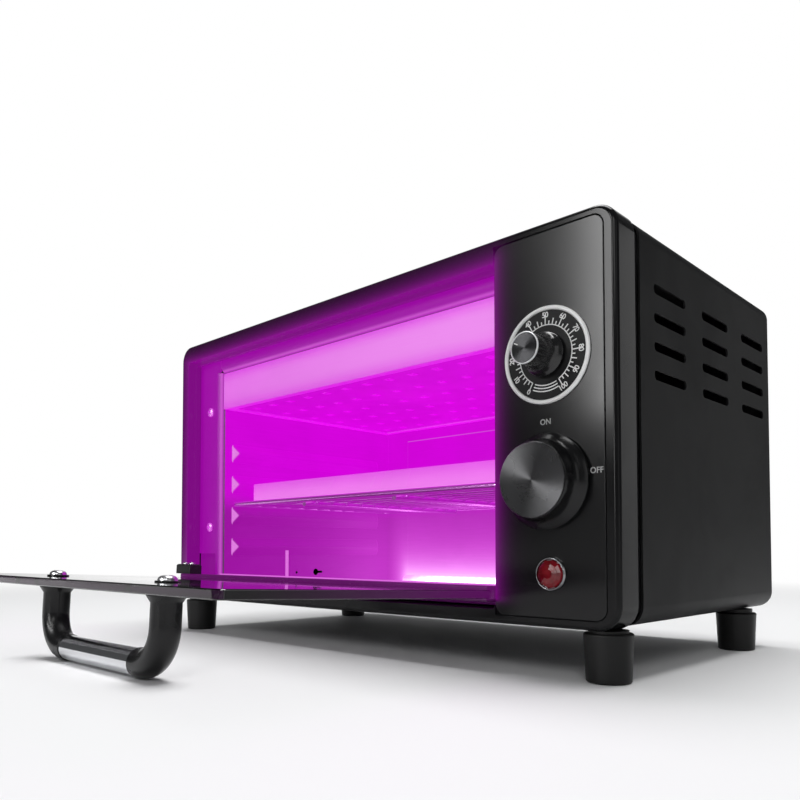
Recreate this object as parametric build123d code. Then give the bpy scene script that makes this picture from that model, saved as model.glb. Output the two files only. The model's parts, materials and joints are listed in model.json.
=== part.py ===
from build123d import *
import os
from math import cos, sin, radians

# A bench-top ultraviolet curing oven: a black steel box on four feet, with a drop-down glass door on
# the left, a lit curing chamber behind it and a column of controls on the right.
# Millimetres. X runs to the right, Y to the back, Z up. The oven stands on Z = 0. While the pieces are
# made, Y = 0 is the bezel's front face; they are then moved so that Y = 0 is the middle of the plan.

# Body
body_width = 360.0
body_height = 189.5
body_depth = 197.9
foot_height = 23.4
sheet = 1.0
face_gap = 0.3
running_clearance = 0.05

# Bezel and its window
bezel_depth = 17.0
bezel_wall = 2.5
bezel_front = 4.0
bezel_corner = 11.0
bezel_edge = 2.5
left_strip = 10.0
control_strip = 66.0
sill_height = 6.8
head_margin = 12.2
jamb_depth = 10.8
rebate_y = 5.2
rebate_depth = 3.0
rebate_width = 2.5
rebate_over_bracket = 10.0
window_corner = 2.0
jamb_corner = 3.0
boss_radius = 3.2
boss_screw_radius = 1.3
boss_inset = 9.5
boss_below_top = 6.9
boss_from_window_left = 20.0
boss_from_window_right = 14.0
boss_from_ends = 32.0
boss_screw_length = 6.0
boss_screw_head = 2.0
bezel_screw_head_radius = 2.4

# Steel frame behind the bezel, and the case that slips over its rim
frame_sheet = 1.2
frame_gap = 0.2
frame_rim_front = 12.0
frame_rim_end = 34.0
frame_bottom_inset = 3.0
frame_corner = 8.0
frame_window_gap = 2.2
control_hole_from_edge = 15.5
foot_notch_half = 7.0
foot_notch_height = 11.0
groove_width = 6.7
case_inset = 0.85
case_corner = 9.5
case_return = 16.0
case_rear_flange = 9.0
case_flange_corner = 4.0

# Vent slots
slot_length = 36.0
slot_height = 4.8
slot_row_pitch = 13.7
slot_column_pitch = 56.8
slot_first_row = 30.4
slot_first_column = 38.0
slot_rows = 4
slot_columns = 3
rear_slot_pitch = 52.0
rear_slot_rows = 5
rear_slot_columns = 5
rear_slot_first = 48.0
rear_slot_row_pitch = 14.0
rear_corner = 8.0
rear_screw_from_ends = 22.0
rear_screw_length = 7.0

# Curing chamber
flange_y = 11.0
chamber_left_margin = 27.0
chamber_right_margin = 6.0
chamber_floor = 9.0
chamber_head_drop = 10.8
chamber_back_gap = 9.9
lip_height = 9.5
flange_lap = 1.5
bend_radius = 5.0
runner_reach = 6.0
runner_height = 15.2
runner_pitch = 23.2
runner_first_top = 45.8
runner_start = 9.0
runner_end_gap = 14.0
runner_end_slope = 4.5
room_over_runner = 22.0
rack_runner = 1
stop_tab_width = 3.4
stop_tab_height = 17.0
stop_tab_from_left = 79.7
keyhole_y = 103.0
keyhole_radius = 2.7
keyhole_height = 8.8
pilot_hole_y = 83.0
pilot_hole_radius = 1.1
keyhole_slot = 1.8
back_field_margin = 24.6
back_field_rise = 1.2
back_field_from_floor = 6.0
back_field_from_lamps = 8.0
flange_screw_offset = 13.0
flange_screw_heights = (52.7, 139.0)
small_screw_head = 1.8
small_screw_head_radius = 3.4
small_screw_length = 6.0
right_flange = 7.0

# Lamp unit under the chamber's ceiling
lamp_unit_height = 26.5
lamp_unit_side_gap = 0.6
lamp_unit_front_gap = 2.0
lamp_unit_lip = 5.0
lamp_wire_inset = 12.0
lamp_board_thickness = 1.6
chip_size = 5.0
chip_thickness = 0.8
chip_rows = 6
chip_margin = 12.0
lower_lamp_depth = 6.0
lower_lamp_height = 5.0
chip_columns = 12
sink_base = 3.0
sink_fin = 1.5
sink_fin_count = 16
sink_margin = 18.0
sink_wire_room = 4.0
sink_top_gap = 4.0

# Rack and tray
rack_wire = 1.75
rack_cross_wire = 1.2
rack_cross_count = 11
rack_corner = 6.0
rack_front_gap = 9.5
rack_back_gap = 4.0
rack_wall_gap = 0.45
rack_weld = 0.4
bearer_shares = (0.33, 0.67)
tray_height = 13.0
tray_side_gap = 8.5
tray_front_offset = 10.5
tray_back_gap = 8.0
tray_corner = 8.0

# Door, hinge and handle
door_tilt = 2.4
door_side_gap = 0.75
door_head_gap = 2.0
glass_thickness = 4.0
glass_recess = 0.5
glass_corner = 4.0
glass_edge = 0.5
glass_hole_gap = 0.6
rail_edge = 1.0
hinge_y = 4.0
hinge_height = 15.3
hinge_pin_radius = 1.5
hinge_pin_reach = 8.0
rail_front_lap = 1.5
rail_back_lap = 2.2
rail_drop = 5.8
rail_grip_start = 3.7
rail_grip = 6.0
stop_bracket_width = 19.0
stop_bracket_height = 13.9
stop_bracket_depth = 7.0
stop_bracket_drop = 4.5
stop_bracket_inset = 1.0
stop_bracket_edge = 1.5
stop_screw_share = 0.27
door_screw_radius = 2.3
door_screw_head = 1.4
stop_screw_depth = 5.0
bracket_notch_below = 3.0
bracket_notch_above = 18.0
handle_spacing = 119.0
handle_left = -91.5
handle_from_hinge = 130.5
handle_depth = 40.5
handle_radius = 7.0
handle_bend = 18.0
handle_foot_radius = 9.0
handle_foot_thickness = 2.0
grip_radius = 6.6
grip_length = 76.0
grip_spigot_radius = 5.5
grip_spigot = 9.0
handle_screw_radius = 2.0
handle_screw_head_radius = 4.5
handle_screw_head = 2.6
handle_washer_radius = 5.6
handle_washer = 0.7
handle_screw_bite = 11.0
handle_flare = 3.0

# Control column
panel_thickness = 2.0
panel_gap = 0.4
panel_right_margin = 6.2
panel_bottom_margin = 4.4
panel_top_margin = 4.5
panel_corner = 5.5
control_from_right = 35.7
lamp_from_right = 33.8
lamp_height = 24.7
switch_height = 67.3
dial_height = 126.2
shaft_radius = 3.0
shaft_hole_radius = 4.0
dial_radius = 22.9
dial_ring_width = 2.0
dial_ring_rise = 1.5
dial_disc = 0.8
timer_knob_reach = 18.5
timer_knob_radius = 7.3
timer_skirt_radius = 10.5
timer_case = (42.0, 30.0, 38.0)
timer_screw_spacing = 28.0
timer_screw_radius = 1.5
timer_screw_head_radius = 2.6
timer_screw_length = 6.0
timer_shaft_reach = 18.0
knob_grip = 6.0
switch_knob_reach = 13.6
switch_knob_radius = 17.8
switch_skirt_radius = 22.5
switch_case = (30.0, 24.0, 30.0)
switch_shaft_reach = 12.0
switch_knob_grip = 4.0
bush_radius = 4.6
bush_nut_radius = 7.0
bush_nut = 2.2
knob_gap = 0.8
knob_cap = 0.8
lamp_ring_radius = 7.9
lamp_hole_radius = 6.4
lamp_lens_radius = 6.6
lamp_lens_rise = 3.4
lamp_barrel = 22.0
lamp_tag = 6.0
lamp_tag_offset = 3.0
lamp_tag_width = 2.8

# Feet
foot_top_radius = 11.15
foot_bottom_radius = 10.1
foot_neck = 1.3
foot_edge = 0.7
foot_neck_radius = 9.0
foot_side_inset = 12.0
foot_front_y = 12.0
foot_rear_inset = 29.9
foot_screw_radius = 2.0
foot_screw_head_radius = 3.8
foot_screw_head = 2.5
foot_recess_radius = 4.3
foot_recess = 14.0

# Base, rear and electrical parts
well_left_margin = 70.0
well_right_margin = 26.0
well_front_gap = 10.0
well_drop = 2.5
well_corner = 8.0
pan_vent_count = 5
pan_vent_width = 2.4
pan_vent_pitch = 5.4
pan_vent_margin = 6.0
pan_vent_end = 18.0
gland_from_right = 40.0
gland_height = 35.0
gland_bore_radius = 3.75
gland_thread_radius = 8.0
gland_flange_radius = 11.0
gland_flange = 4.0
gland_reach = 12.0
gland_inside = 10.0
gland_nut = 4.0
driver_size = (36.0, 70.0, 30.0)
driver_side_gap = 6.0
driver_foot = 8.0
driver_foot_inset = 4.0
driver_foot_side = 5.0
driver_corner_radius = 2.0
driver_wire_x = 8.0
pole_radius = 1.8
block_size = (34.0, 12.0, 13.0)
block_from_control = 27.0
block_gap = 14.0
wire_room = 17.0
wire_radius = 1.3
wire_bend = 9.0
wire_drop = 24.0
tag_length = 7.0
switch_tag = 6.0
timer_tag_offset = 10.0
pole_depth = 5.0
driver_rise = 3.0

# Places worked out from the sizes above
half_width = body_width / 2
bottom = foot_height
rear_foot_y = body_depth - foot_rear_inset
top = bottom + body_height
window_left = -half_width + left_strip
window_right = half_width - control_strip
window_bottom = bottom + sill_height
window_top = top - head_margin
chamber_left = window_left + chamber_left_margin
chamber_right = window_right - chamber_right_margin
floor_z = bottom + chamber_floor
ceiling_z = window_top - chamber_head_drop
chamber_back = body_depth - chamber_back_gap
lamp_unit_bottom = ceiling_z - lamp_unit_height
runner_tops = []
next_top = bottom + runner_first_top
while next_top + room_over_runner < lamp_unit_bottom:
    runner_tops.append(next_top)
    next_top += runner_pitch
runner_flank = (runner_reach ** 2 + (runner_height / 2) ** 2) ** 0.5
rack_side = rack_wire + rack_wall_gap
rack_z = runner_tops[rack_runner] + \
    ((rack_wire + face_gap) * runner_flank - rack_side * runner_height / 2) / runner_reach
rack_front = flange_y + rack_front_gap
rack_back = chamber_back - rack_back_gap
tray_bottom = rack_z + rack_wire + face_gap
tray_front = rack_front + tray_front_offset
case_half = half_width - case_inset
case_bottom = bottom + case_inset
case_top = top - case_inset
case_front = bezel_depth + groove_width
frame_half = half_width - bezel_wall - frame_gap
frame_bottom = bottom + frame_bottom_inset
frame_top = top - frame_bottom_inset
frame_y = flange_y + sheet
hinge_z = bottom + hinge_height
door_left = window_left + door_side_gap
door_right = window_right - door_side_gap
door_top = window_top - door_head_gap
glass_outer = glass_recess
glass_inner = glass_recess + glass_thickness
glass_bottom = hinge_z + rail_grip_start
rail_outer = glass_outer - rail_front_lap
rail_inner = glass_inner + rail_back_lap
handle_z = hinge_z + handle_from_hinge
grip_y = glass_outer - handle_depth + handle_radius
control_x = half_width - control_from_right
lamp_x = half_width - lamp_from_right
panel_left = window_right + panel_gap
panel_right = half_width - panel_right_margin
panel_bottom = bottom + panel_bottom_margin
panel_top = top - panel_top_margin
dial_z = bottom + dial_height
switch_z = bottom + switch_height
lamp_z = bottom + lamp_height
gland_x = half_width - gland_from_right
gland_z = bottom + gland_height
pan_z = case_bottom + sheet
well_floor = bottom - well_drop + sheet
opening_angle = 90 - door_tilt
front_reach = (door_top - hinge_z) * sin(radians(opening_angle)) + \
    (hinge_y - glass_outer) * cos(radians(opening_angle)) - hinge_y
plan_middle = (body_depth + gland_reach - front_reach) / 2


def block(x0, x1, y0, y1, z0, z1):
    """A box between two corners."""
    middle = ((x0 + x1) / 2, (y0 + y1) / 2, (z0 + z1) / 2)
    return Pos(*middle) * Box(x1 - x0, y1 - y0, z1 - z0)


def slab(x0, x1, z0, z1, y0, y1, corner):
    """A plate facing the front, between y0 and y1, with rounded corners."""
    outline = Pos((x0 + x1) / 2, (z0 + z1) / 2) * RectangleRounded(x1 - x0, z1 - z0, corner)
    return extrude(Plane.XZ.offset(-y0) * outline, amount=-(y1 - y0))


def rod_y(x, z, y0, y1, radius):
    """A round bar that runs to the back."""
    return Pos(x, (y0 + y1) / 2, z) * Rot(90, 0, 0) * Cylinder(radius, y1 - y0)


def rod_x(y, z, x0, x1, radius):
    """A round bar that runs to the right."""
    return Pos((x0 + x1) / 2, y, z) * Rot(0, 90, 0) * Cylinder(radius, x1 - x0)


def rod_z(x, y, z0, z1, radius):
    """An upright round bar."""
    return Pos(x, y, (z0 + z1) / 2) * Cylinder(radius, z1 - z0)


def turned(x, z, profile):
    """A piece turned about an axis that runs to the back; the profile is a list of (radius, y)."""
    face = make_face(Polyline(*[(r, y) for r, y in profile], close=True))
    return Pos(x, 0, z) * revolve(face, Axis.Y)


def slot_x(x, y_middle, z, length, height, thickness):
    """A slot through a side wall, round at both ends, running to the back."""
    straight = length - height
    cut = block(x - thickness, x + thickness, y_middle - straight / 2, y_middle + straight / 2,
                z - height / 2, z + height / 2)
    for end in (-1, 1):
        cut += rod_x(y_middle + end * straight / 2, z, x - thickness, x + thickness, height / 2)
    return cut


def slot_y(x_middle, y, z, length, height, thickness):
    """A slot through the rear wall, round at both ends, running to the right."""
    straight = length - height
    cut = block(x_middle - straight / 2, x_middle + straight / 2, y - thickness, y + thickness,
                z - height / 2, z + height / 2)
    for end in (-1, 1):
        cut += rod_y(x_middle + end * straight / 2, z, y - thickness, y + thickness, height / 2)
    return cut


def screw_y(x, z, face_y, head, head_radius, shank, shank_radius, facing=-1):
    """A screw with a domed head on the face at face_y; facing -1 puts the head in front of the face."""
    head_face = face_y + facing * head
    low, high = sorted((face_y, head_face))
    solid = rod_y(x, z, low, high, head_radius)
    rim = solid.edges().filter_by(GeomType.CIRCLE).group_by(Axis.Y)[0 if facing < 0 else -1]
    solid = fillet(rim, head * 0.55)
    low, high = sorted((face_y, face_y - facing * shank))
    return solid + rod_y(x, z, low, high, shank_radius)


boss_places = [
    (window_left + boss_from_window_left, top - boss_below_top),
    ((window_left + window_right) / 2, top - boss_below_top),
    (window_right - boss_from_window_right, top - boss_below_top),
    (half_width - boss_inset, bottom + boss_from_ends),
    (half_width - boss_inset, top - boss_from_ends),
]


def make_front_bezel():
    """Moulded front: an outer rim, a front wall, a jamb round the window and bosses for its screws."""
    shell = slab(-half_width, half_width, bottom, top, 0, bezel_depth, bezel_corner)
    shell = fillet(shell.faces().sort_by(Axis.Y)[0].edges(), bezel_edge)
    inner = half_width - bezel_wall
    hollow = slab(-inner, inner, bottom + bezel_wall, top - bezel_wall, bezel_front, bezel_depth + 1,
                  bezel_corner - bezel_wall)
    jamb = slab(window_left - bezel_wall, window_right + bezel_wall, window_bottom - bezel_wall,
                window_top + bezel_wall, bezel_front, jamb_depth, jamb_corner)
    shell = shell - hollow + jamb
    for x, z in boss_places:
        shell += rod_y(x, z, bezel_front, frame_y, boss_radius)
    window = slab(window_left, window_right, window_bottom, window_top, -1, jamb_depth + 1, window_corner)
    shell -= window
    rebate_bottom = hinge_z + stop_bracket_height + rebate_over_bracket
    rebate = block(window_left, window_right, rebate_y, rebate_y + rebate_depth, rebate_bottom, window_top)
    rebate -= block(window_left + rebate_width, window_right - rebate_width, 0, bezel_depth, 0,
                    window_top - rebate_width)
    shell += rebate
    recess = slab(window_right - 20, panel_right + panel_gap, panel_bottom - panel_gap, panel_top + panel_gap,
                  -1, panel_thickness, panel_corner + panel_gap)
    recess -= block(window_right - 30, window_right, -2, bezel_depth, bottom, top)
    shell -= recess
    shell -= rod_y(control_x, dial_z, -1, bezel_front + 1, shaft_hole_radius)
    for side in (-1, 1):
        shell -= rod_y(control_x + side * timer_screw_spacing / 2, dial_z, -1, bezel_front + 1,
                       timer_screw_radius + 0.1)
    shell -= rod_y(control_x, switch_z, -1, bezel_front + 1, bush_radius + 0.2)
    shell -= rod_y(lamp_x, lamp_z, -1, bezel_front + 1, lamp_hole_radius)
    for x in (window_left, window_right):
        shell -= rod_x(hinge_y, hinge_z, x - bezel_wall - 1, x + bezel_wall + 1,
                       hinge_pin_radius + running_clearance)
    for side in (-1, 1):
        shell -= rod_z(side * (half_width - foot_side_inset), foot_front_y, bottom - 1, bottom + bezel_wall + 1,
                       foot_screw_radius + running_clearance)
    for x, z in boss_places:
        shell -= rod_y(x, z, bezel_front + 1, frame_y + 1, boss_screw_radius)
    return shell


def make_bezel_screws():
    return [screw_y(x, z, frame_y + frame_sheet, boss_screw_head, bezel_screw_head_radius,
                    frame_sheet + boss_screw_length,
                    boss_screw_radius - 0.05, 1)
            for x, z in boss_places]


def make_control_panel():
    """Gloss plate let into the bezel's right part."""
    plate = slab(panel_left, panel_right, panel_bottom, panel_top, 0, panel_thickness, panel_corner)
    plate = fillet(plate.faces().sort_by(Axis.Y)[0].edges(), 0.5)
    plate -= rod_y(control_x, dial_z, -1, panel_thickness + 1, shaft_hole_radius)
    for side in (-1, 1):
        plate -= rod_y(control_x + side * timer_screw_spacing / 2, dial_z, -1, panel_thickness + 1,
                       timer_screw_head_radius + 0.2)
    plate -= rod_y(control_x, switch_z, -1, panel_thickness + 1, bush_radius + 0.2)
    plate -= rod_y(lamp_x, lamp_z, -1, panel_thickness + 1, lamp_hole_radius)
    return plate


def make_dial_plate():
    disc = rod_y(control_x, dial_z, -dial_disc, 0, dial_radius - dial_ring_width - 0.1)
    return disc - rod_y(control_x, dial_z, -dial_disc - 1, 1, shaft_hole_radius)


def make_dial_ring():
    inner = dial_radius - dial_ring_width
    return turned(control_x, dial_z, [
        (inner, 0), (dial_radius, 0), (dial_radius, -dial_ring_rise * 0.6),
        (dial_radius - 0.5, -dial_ring_rise), (inner + 0.5, -dial_ring_rise), (inner, -dial_ring_rise * 0.6)])


def make_timer_body():
    """Clockwork timer on its mounting plate, with two terminals at the back."""
    width, depth, height = timer_case
    front = bezel_front
    body = block(control_x - width / 2, control_x + width / 2, front, front + sheet, dial_z - height / 2,
                 dial_z + height / 2)
    drum = block(control_x - width / 2 + 3, control_x + width / 2 - 3, front + sheet, front + depth,
                 dial_z - height / 2 + 2, dial_z + height / 2 - 2)
    body += fillet(drum.edges().filter_by(Axis.Y), 3)
    body += rod_y(control_x, dial_z, panel_thickness + 0.2, front, shaft_radius + 0.9)
    for side in (-1, 1):
        tag_x = control_x + side * timer_tag_offset
        body += block(tag_x - 3, tag_x + 3, front + depth, front + depth + tag_length,
                      dial_z - 0.4, dial_z + 0.4)
        body -= rod_y(control_x + side * timer_screw_spacing / 2, dial_z, front - 1, front + 8,
                       timer_screw_radius + running_clearance)
    return body - rod_y(control_x, dial_z, -1, front + timer_shaft_reach + 2,
                        shaft_radius + running_clearance)


def make_timer_screws():
    shank = bezel_front - panel_thickness + timer_screw_length
    return [screw_y(control_x + side * timer_screw_spacing / 2, dial_z, panel_thickness, panel_thickness - 0.1,
                    timer_screw_head_radius, shank, timer_screw_radius) for side in (-1, 1)]


def make_timer_shaft():
    return rod_y(control_x, dial_z, knob_grip - timer_knob_reach, bezel_front + timer_shaft_reach, shaft_radius)


def make_timer_knob():
    """Slim bullet-shaped knob with a flared skirt."""
    start = -dial_disc - knob_gap
    end = -timer_knob_reach + knob_cap
    knob = turned(control_x, dial_z, [
        (0, start), (timer_skirt_radius - 0.4, start), (timer_skirt_radius, start - 0.5),
        (timer_skirt_radius, start - 1.3), (timer_skirt_radius - 1.4, start - 2.6),
        (timer_knob_radius + 0.4, start - 4.6), (timer_knob_radius, start - 7.5),
        (timer_knob_radius - 0.1, end), (0, end)])
    return knob - rod_y(control_x, dial_z, knob_grip - timer_knob_reach - 0.5, 1,
                        shaft_radius + running_clearance)


def make_timer_knob_cap():
    """Turned aluminium face with a raised bright rim."""
    back = -timer_knob_reach + knob_cap
    return turned(control_x, dial_z, [
        (0, back), (timer_knob_radius, back), (timer_knob_radius, back - knob_cap + 0.2),
        (timer_knob_radius - 0.2, back - knob_cap), (timer_knob_radius - 0.8, back - knob_cap),
        (timer_knob_radius - 0.9, back - knob_cap + 0.3), (0, back - knob_cap + 0.3)])


def make_switch_body():
    """Rotary switch with a threaded bush through the panel and four tags."""
    width, depth, height = switch_case
    front = bezel_front
    case = block(control_x - width / 2, control_x + width / 2, front, front + depth, switch_z - height / 2,
                 switch_z + height / 2)
    body = fillet(case.edges().filter_by(Axis.Y), 4)
    body += rod_y(control_x, switch_z, -bush_nut - 0.6, front, bush_radius)
    for dx in (-1, 1):
        for dz in (-1, 1):
            x = control_x + dx * width / 4
            z = switch_z + dz * height / 4
            body += block(x - 2.4, x + 2.4, front + depth, front + depth + switch_tag, z - 0.4, z + 0.4)
    return body - rod_y(control_x, switch_z, -8, front + switch_shaft_reach + 2,
                        shaft_radius + running_clearance)


def make_switch_nut():
    nut = Plane.XZ * Pos(control_x, switch_z) * RegularPolygon(bush_nut_radius, 6)
    solid = extrude(nut, amount=bush_nut)
    return solid - rod_y(control_x, switch_z, -bush_nut - 1, 1, bush_radius + 0.02)


def make_switch_shaft():
    return rod_y(control_x, switch_z, switch_knob_grip - switch_knob_reach, bezel_front + switch_shaft_reach,
                 shaft_radius)


def make_switch_knob():
    """Broad knob with a dished skirt, hollow behind where it covers the bush nut."""
    start = -knob_gap
    end = -switch_knob_reach + knob_cap
    hollow = -bush_nut - 1.4
    knob = turned(control_x, switch_z, [
        (bush_nut_radius + 1.5, start), (switch_skirt_radius - 0.6, start), (switch_skirt_radius, start - 0.6),
        (switch_skirt_radius, start - 1.8), (switch_skirt_radius - 1.4, start - 3.4),
        (switch_skirt_radius - 3.2, start - 5.0), (switch_knob_radius + 0.5, start - 7.0),
        (switch_knob_radius, end + 0.8), (switch_knob_radius - 0.5, end), (0, end), (0, hollow),
        (bush_nut_radius + 1.5, hollow)])
    return knob - rod_y(control_x, switch_z, switch_knob_grip - switch_knob_reach - 0.5, 1,
                        shaft_radius + running_clearance)


def make_switch_knob_cap():
    back = -switch_knob_reach + knob_cap
    radius = switch_knob_radius - 0.6
    return turned(control_x, switch_z, [
        (0, back), (radius, back), (radius, back - knob_cap + 0.25), (radius - 0.25, back - knob_cap),
        (0, back - knob_cap)])


def make_lamp_lens():
    """Domed red lens with a spigot into the lamp body."""
    return turned(lamp_x, lamp_z, [
        (0, 1.0), (lamp_hole_radius - 0.6, 1.0), (lamp_hole_radius - 0.6, -0.6), (lamp_lens_radius, -0.6),
        (lamp_lens_radius, -1.2), (lamp_lens_radius * 0.93, -lamp_lens_rise * 0.62),
        (lamp_lens_radius * 0.72, -lamp_lens_rise * 0.86), (lamp_lens_radius * 0.4, -lamp_lens_rise * 0.97),
        (0, -lamp_lens_rise)])


def make_lamp_ring():
    inner = lamp_lens_radius + 0.1
    return turned(lamp_x, lamp_z, [
        (lamp_hole_radius - 0.5, 0), (lamp_ring_radius, 0), (lamp_ring_radius, -1.0),
        (lamp_ring_radius - 0.5, -1.8), (inner + 0.3, -1.8), (inner, -1.4), (inner, -0.5),
        (lamp_hole_radius - 0.5, -0.5)])


def make_lamp_body():
    """Lamp barrel behind the panel, with a snap collar and two tags."""
    barrel_end = bezel_front + lamp_barrel
    body = rod_y(lamp_x, lamp_z, 1.0, barrel_end, lamp_hole_radius - 0.15)
    body += rod_y(lamp_x, lamp_z, bezel_front + 0.1, bezel_front + 2.6, lamp_hole_radius + 2.4)
    for side in (-1, 1):
        tag_x = lamp_x + side * lamp_tag_offset
        body += block(tag_x - lamp_tag_width / 2, tag_x + lamp_tag_width / 2, barrel_end, barrel_end + lamp_tag,
                      lamp_z - 0.4, lamp_z + 0.4)
    return body


def make_front_frame():
    """Folded steel frame: a plate behind the bezel with a rim that the case slips over."""
    plate = slab(-frame_half, frame_half, frame_bottom, frame_top, frame_y, frame_y + frame_sheet, frame_corner)
    tube = slab(-frame_half, frame_half, frame_bottom, frame_top, frame_rim_front, frame_rim_end,
                frame_corner)
    tube -= slab(-frame_half + frame_sheet, frame_half - frame_sheet, frame_bottom + frame_sheet,
                 frame_top - frame_sheet, frame_rim_front - 1, frame_rim_end + 1,
                 frame_corner - frame_sheet)
    around = bend_radius + frame_window_gap
    plate -= block(chamber_left - around, chamber_right + around, 0, 50, floor_z - frame_window_gap,
                   ceiling_z + around)
    plate -= block(chamber_right + 14, half_width - control_hole_from_edge, 0, 50, bottom + 10, top - 12)
    for side in (-1, 1):
        x = side * (half_width - foot_side_inset)
        plate -= block(x - foot_notch_half, x + foot_notch_half, 0, 50, bottom, frame_bottom + foot_notch_height)
    plate -= notch_for_bracket()
    for x, z in boss_places:
        plate -= rod_y(x, z, 0, 50, boss_screw_radius)
    for height in flange_screw_heights:
        plate -= rod_y(chamber_left - flange_screw_offset, bottom + height, 0, 50, boss_screw_radius)
    return plate + tube


def notch_for_bracket():
    """Room in the frame and the left flange for the door's stop bracket."""
    return block(window_left - 2, chamber_left - bend_radius - 0.6, 0, 60, hinge_z - bracket_notch_below,
                 hinge_z + bracket_notch_above)


def folded_strip(points, radius, low, high):
    """A sheet folded once, seen from above, standing from low to high."""
    middle_line = FilletPolyline(*points, radius=radius)
    return Pos(0, 0, low) * extrude(trace(middle_line, line_width=sheet), amount=high - low)


def make_runner(wall_x, direction, top_z):
    """One rack runner on a chamber wall: a ridge with two flanks and a sloping facet at each end."""
    front = flange_y + runner_start
    back = chamber_back - runner_end_gap
    section = Polyline((wall_x, top_z), (wall_x + direction * runner_reach, top_z - runner_height / 2),
                       (wall_x, top_z - runner_height), close=True)
    runner = extrude(Plane.XZ.offset(-front) * make_face(section), amount=-(back - front))
    for y, side in ((front, 1), (back, -1)):
        slope = Plane(origin=(wall_x, y, top_z), z_dir=(-direction * runner_end_slope, side * runner_reach, 0))
        runner = split(runner, bisect_by=slope, keep=Keep.TOP)
    return runner


def make_liner_side(inner_x, direction, flange_end):
    """One side wall of the chamber, folded outwards at the front into its flange."""
    middle_x = inner_x - direction * sheet / 2
    middle_y = flange_y + sheet / 2
    return folded_strip([(flange_end, middle_y), (middle_x, middle_y), (middle_x, chamber_back)],
                        bend_radius, floor_z - sheet, ceiling_z + sheet)


def make_runners(wall_x, direction):
    return [make_runner(wall_x, direction, top_z) for top_z in runner_tops]


def make_liner_left():
    """Left wall, whose flange closes the window's left part from the sill to the head."""
    flange_left = window_left - flange_lap
    flange_right = chamber_left - bend_radius - sheet
    wall = make_liner_side(chamber_left, 1, flange_left)
    wall += block(flange_left, flange_right, flange_y, frame_y, window_bottom - flange_lap,
                  window_top + flange_lap)
    corner_gap = sheet + face_gap
    wall += block(flange_left, chamber_left - face_gap, flange_y, frame_y, ceiling_z + corner_gap,
                  window_top + flange_lap)
    wall -= notch_for_bracket()
    hole_z = bottom + keyhole_height + chamber_floor
    wall -= rod_x(keyhole_y, hole_z, chamber_left - 2, chamber_left + 1, keyhole_radius)
    wall -= block(chamber_left - 2, chamber_left + 1, keyhole_y, keyhole_y + 2.6 * keyhole_radius,
                  hole_z - keyhole_slot / 2, hole_z + keyhole_slot / 2)
    wall -= rod_x(pilot_hole_y, hole_z, chamber_left - 2, chamber_left + 1, pilot_hole_radius)
    for height in flange_screw_heights:
        wall -= rod_y(chamber_left - flange_screw_offset, bottom + height, 0, frame_y + 1, boss_screw_radius)
    return wall


def make_liner_right():
    return make_liner_side(chamber_right, -1, chamber_right + bend_radius + right_flange)


def make_liner_floor():
    """Chamber floor with a turned-up lip at the front and one upright stop tab."""
    floor = block(chamber_left, chamber_right, flange_y, chamber_back, floor_z - sheet, floor_z)
    lip = block(chamber_left, chamber_right, flange_y, flange_y + sheet, floor_z, floor_z + lip_height)
    tab_x = chamber_left + stop_tab_from_left
    tab_base = floor_z + lip_height
    tab = block(tab_x - stop_tab_width / 2, tab_x + stop_tab_width / 2, flange_y, flange_y + sheet, tab_base,
                tab_base + stop_tab_height)
    return floor + lip + tab


def make_liner_ceiling():
    """Chamber ceiling with a turned-up flange at the front."""
    middle_y = flange_y + sheet / 2
    middle_z = ceiling_z + sheet / 2
    profile = FilletPolyline((window_top + 2, middle_y), (middle_z, middle_y), (middle_z, chamber_back),
                             radius=bend_radius)
    strip = extrude(trace(profile, line_width=sheet), amount=chamber_right - chamber_left)
    turned_up = strip.rotate(Axis.Y, -90)
    box = turned_up.bounding_box()
    ceiling = Pos(chamber_left - box.min.X, 0, 0) * turned_up
    return ceiling - rod_z(lamp_wire_x(), lamp_wire_y(), ceiling_z - 1, ceiling_z + 3, 4.0)


def make_liner_back():
    """Chamber back with a shallow pressed field."""
    back = block(chamber_left - sheet, chamber_right + sheet, chamber_back, chamber_back + sheet,
                 floor_z - sheet, ceiling_z + sheet)
    field = block(chamber_left + back_field_margin, chamber_right - back_field_margin,
                  chamber_back - back_field_rise, chamber_back, floor_z + back_field_from_floor,
                  lamp_unit_bottom - back_field_from_lamps)
    front = field.faces().sort_by(Axis.Y)[0]
    return back + chamfer(front.edges(), back_field_rise * 0.8)


def make_flange_screws():
    return [screw_y(chamber_left - flange_screw_offset, bottom + height, flange_y, small_screw_head,
                    small_screw_head_radius, small_screw_length, boss_screw_radius - 0.05)
            for height in flange_screw_heights]


def lamp_unit_box(inset, z0, z1):
    """A box inside the lamp unit's outline, inset from it all round."""
    return block(chamber_left + lamp_unit_side_gap + inset, chamber_right - lamp_unit_side_gap - inset,
                 flange_y + lamp_unit_front_gap + inset, chamber_back - lamp_unit_front_gap - inset, z0, z1)


def make_lamp_housing():
    """Folded tray hung from the ceiling, open below inside a narrow lip."""
    housing = lamp_unit_box(0, lamp_unit_bottom, ceiling_z)
    housing -= lamp_unit_box(sheet, lamp_unit_bottom + sheet, ceiling_z + 1)
    return housing - lamp_unit_box(sheet + lamp_unit_lip, lamp_unit_bottom - 1, lamp_unit_bottom + 2)


def make_led_board():
    low = lamp_unit_bottom + sheet
    return lamp_unit_box(sheet + 0.2, low, low + lamp_board_thickness)


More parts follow.
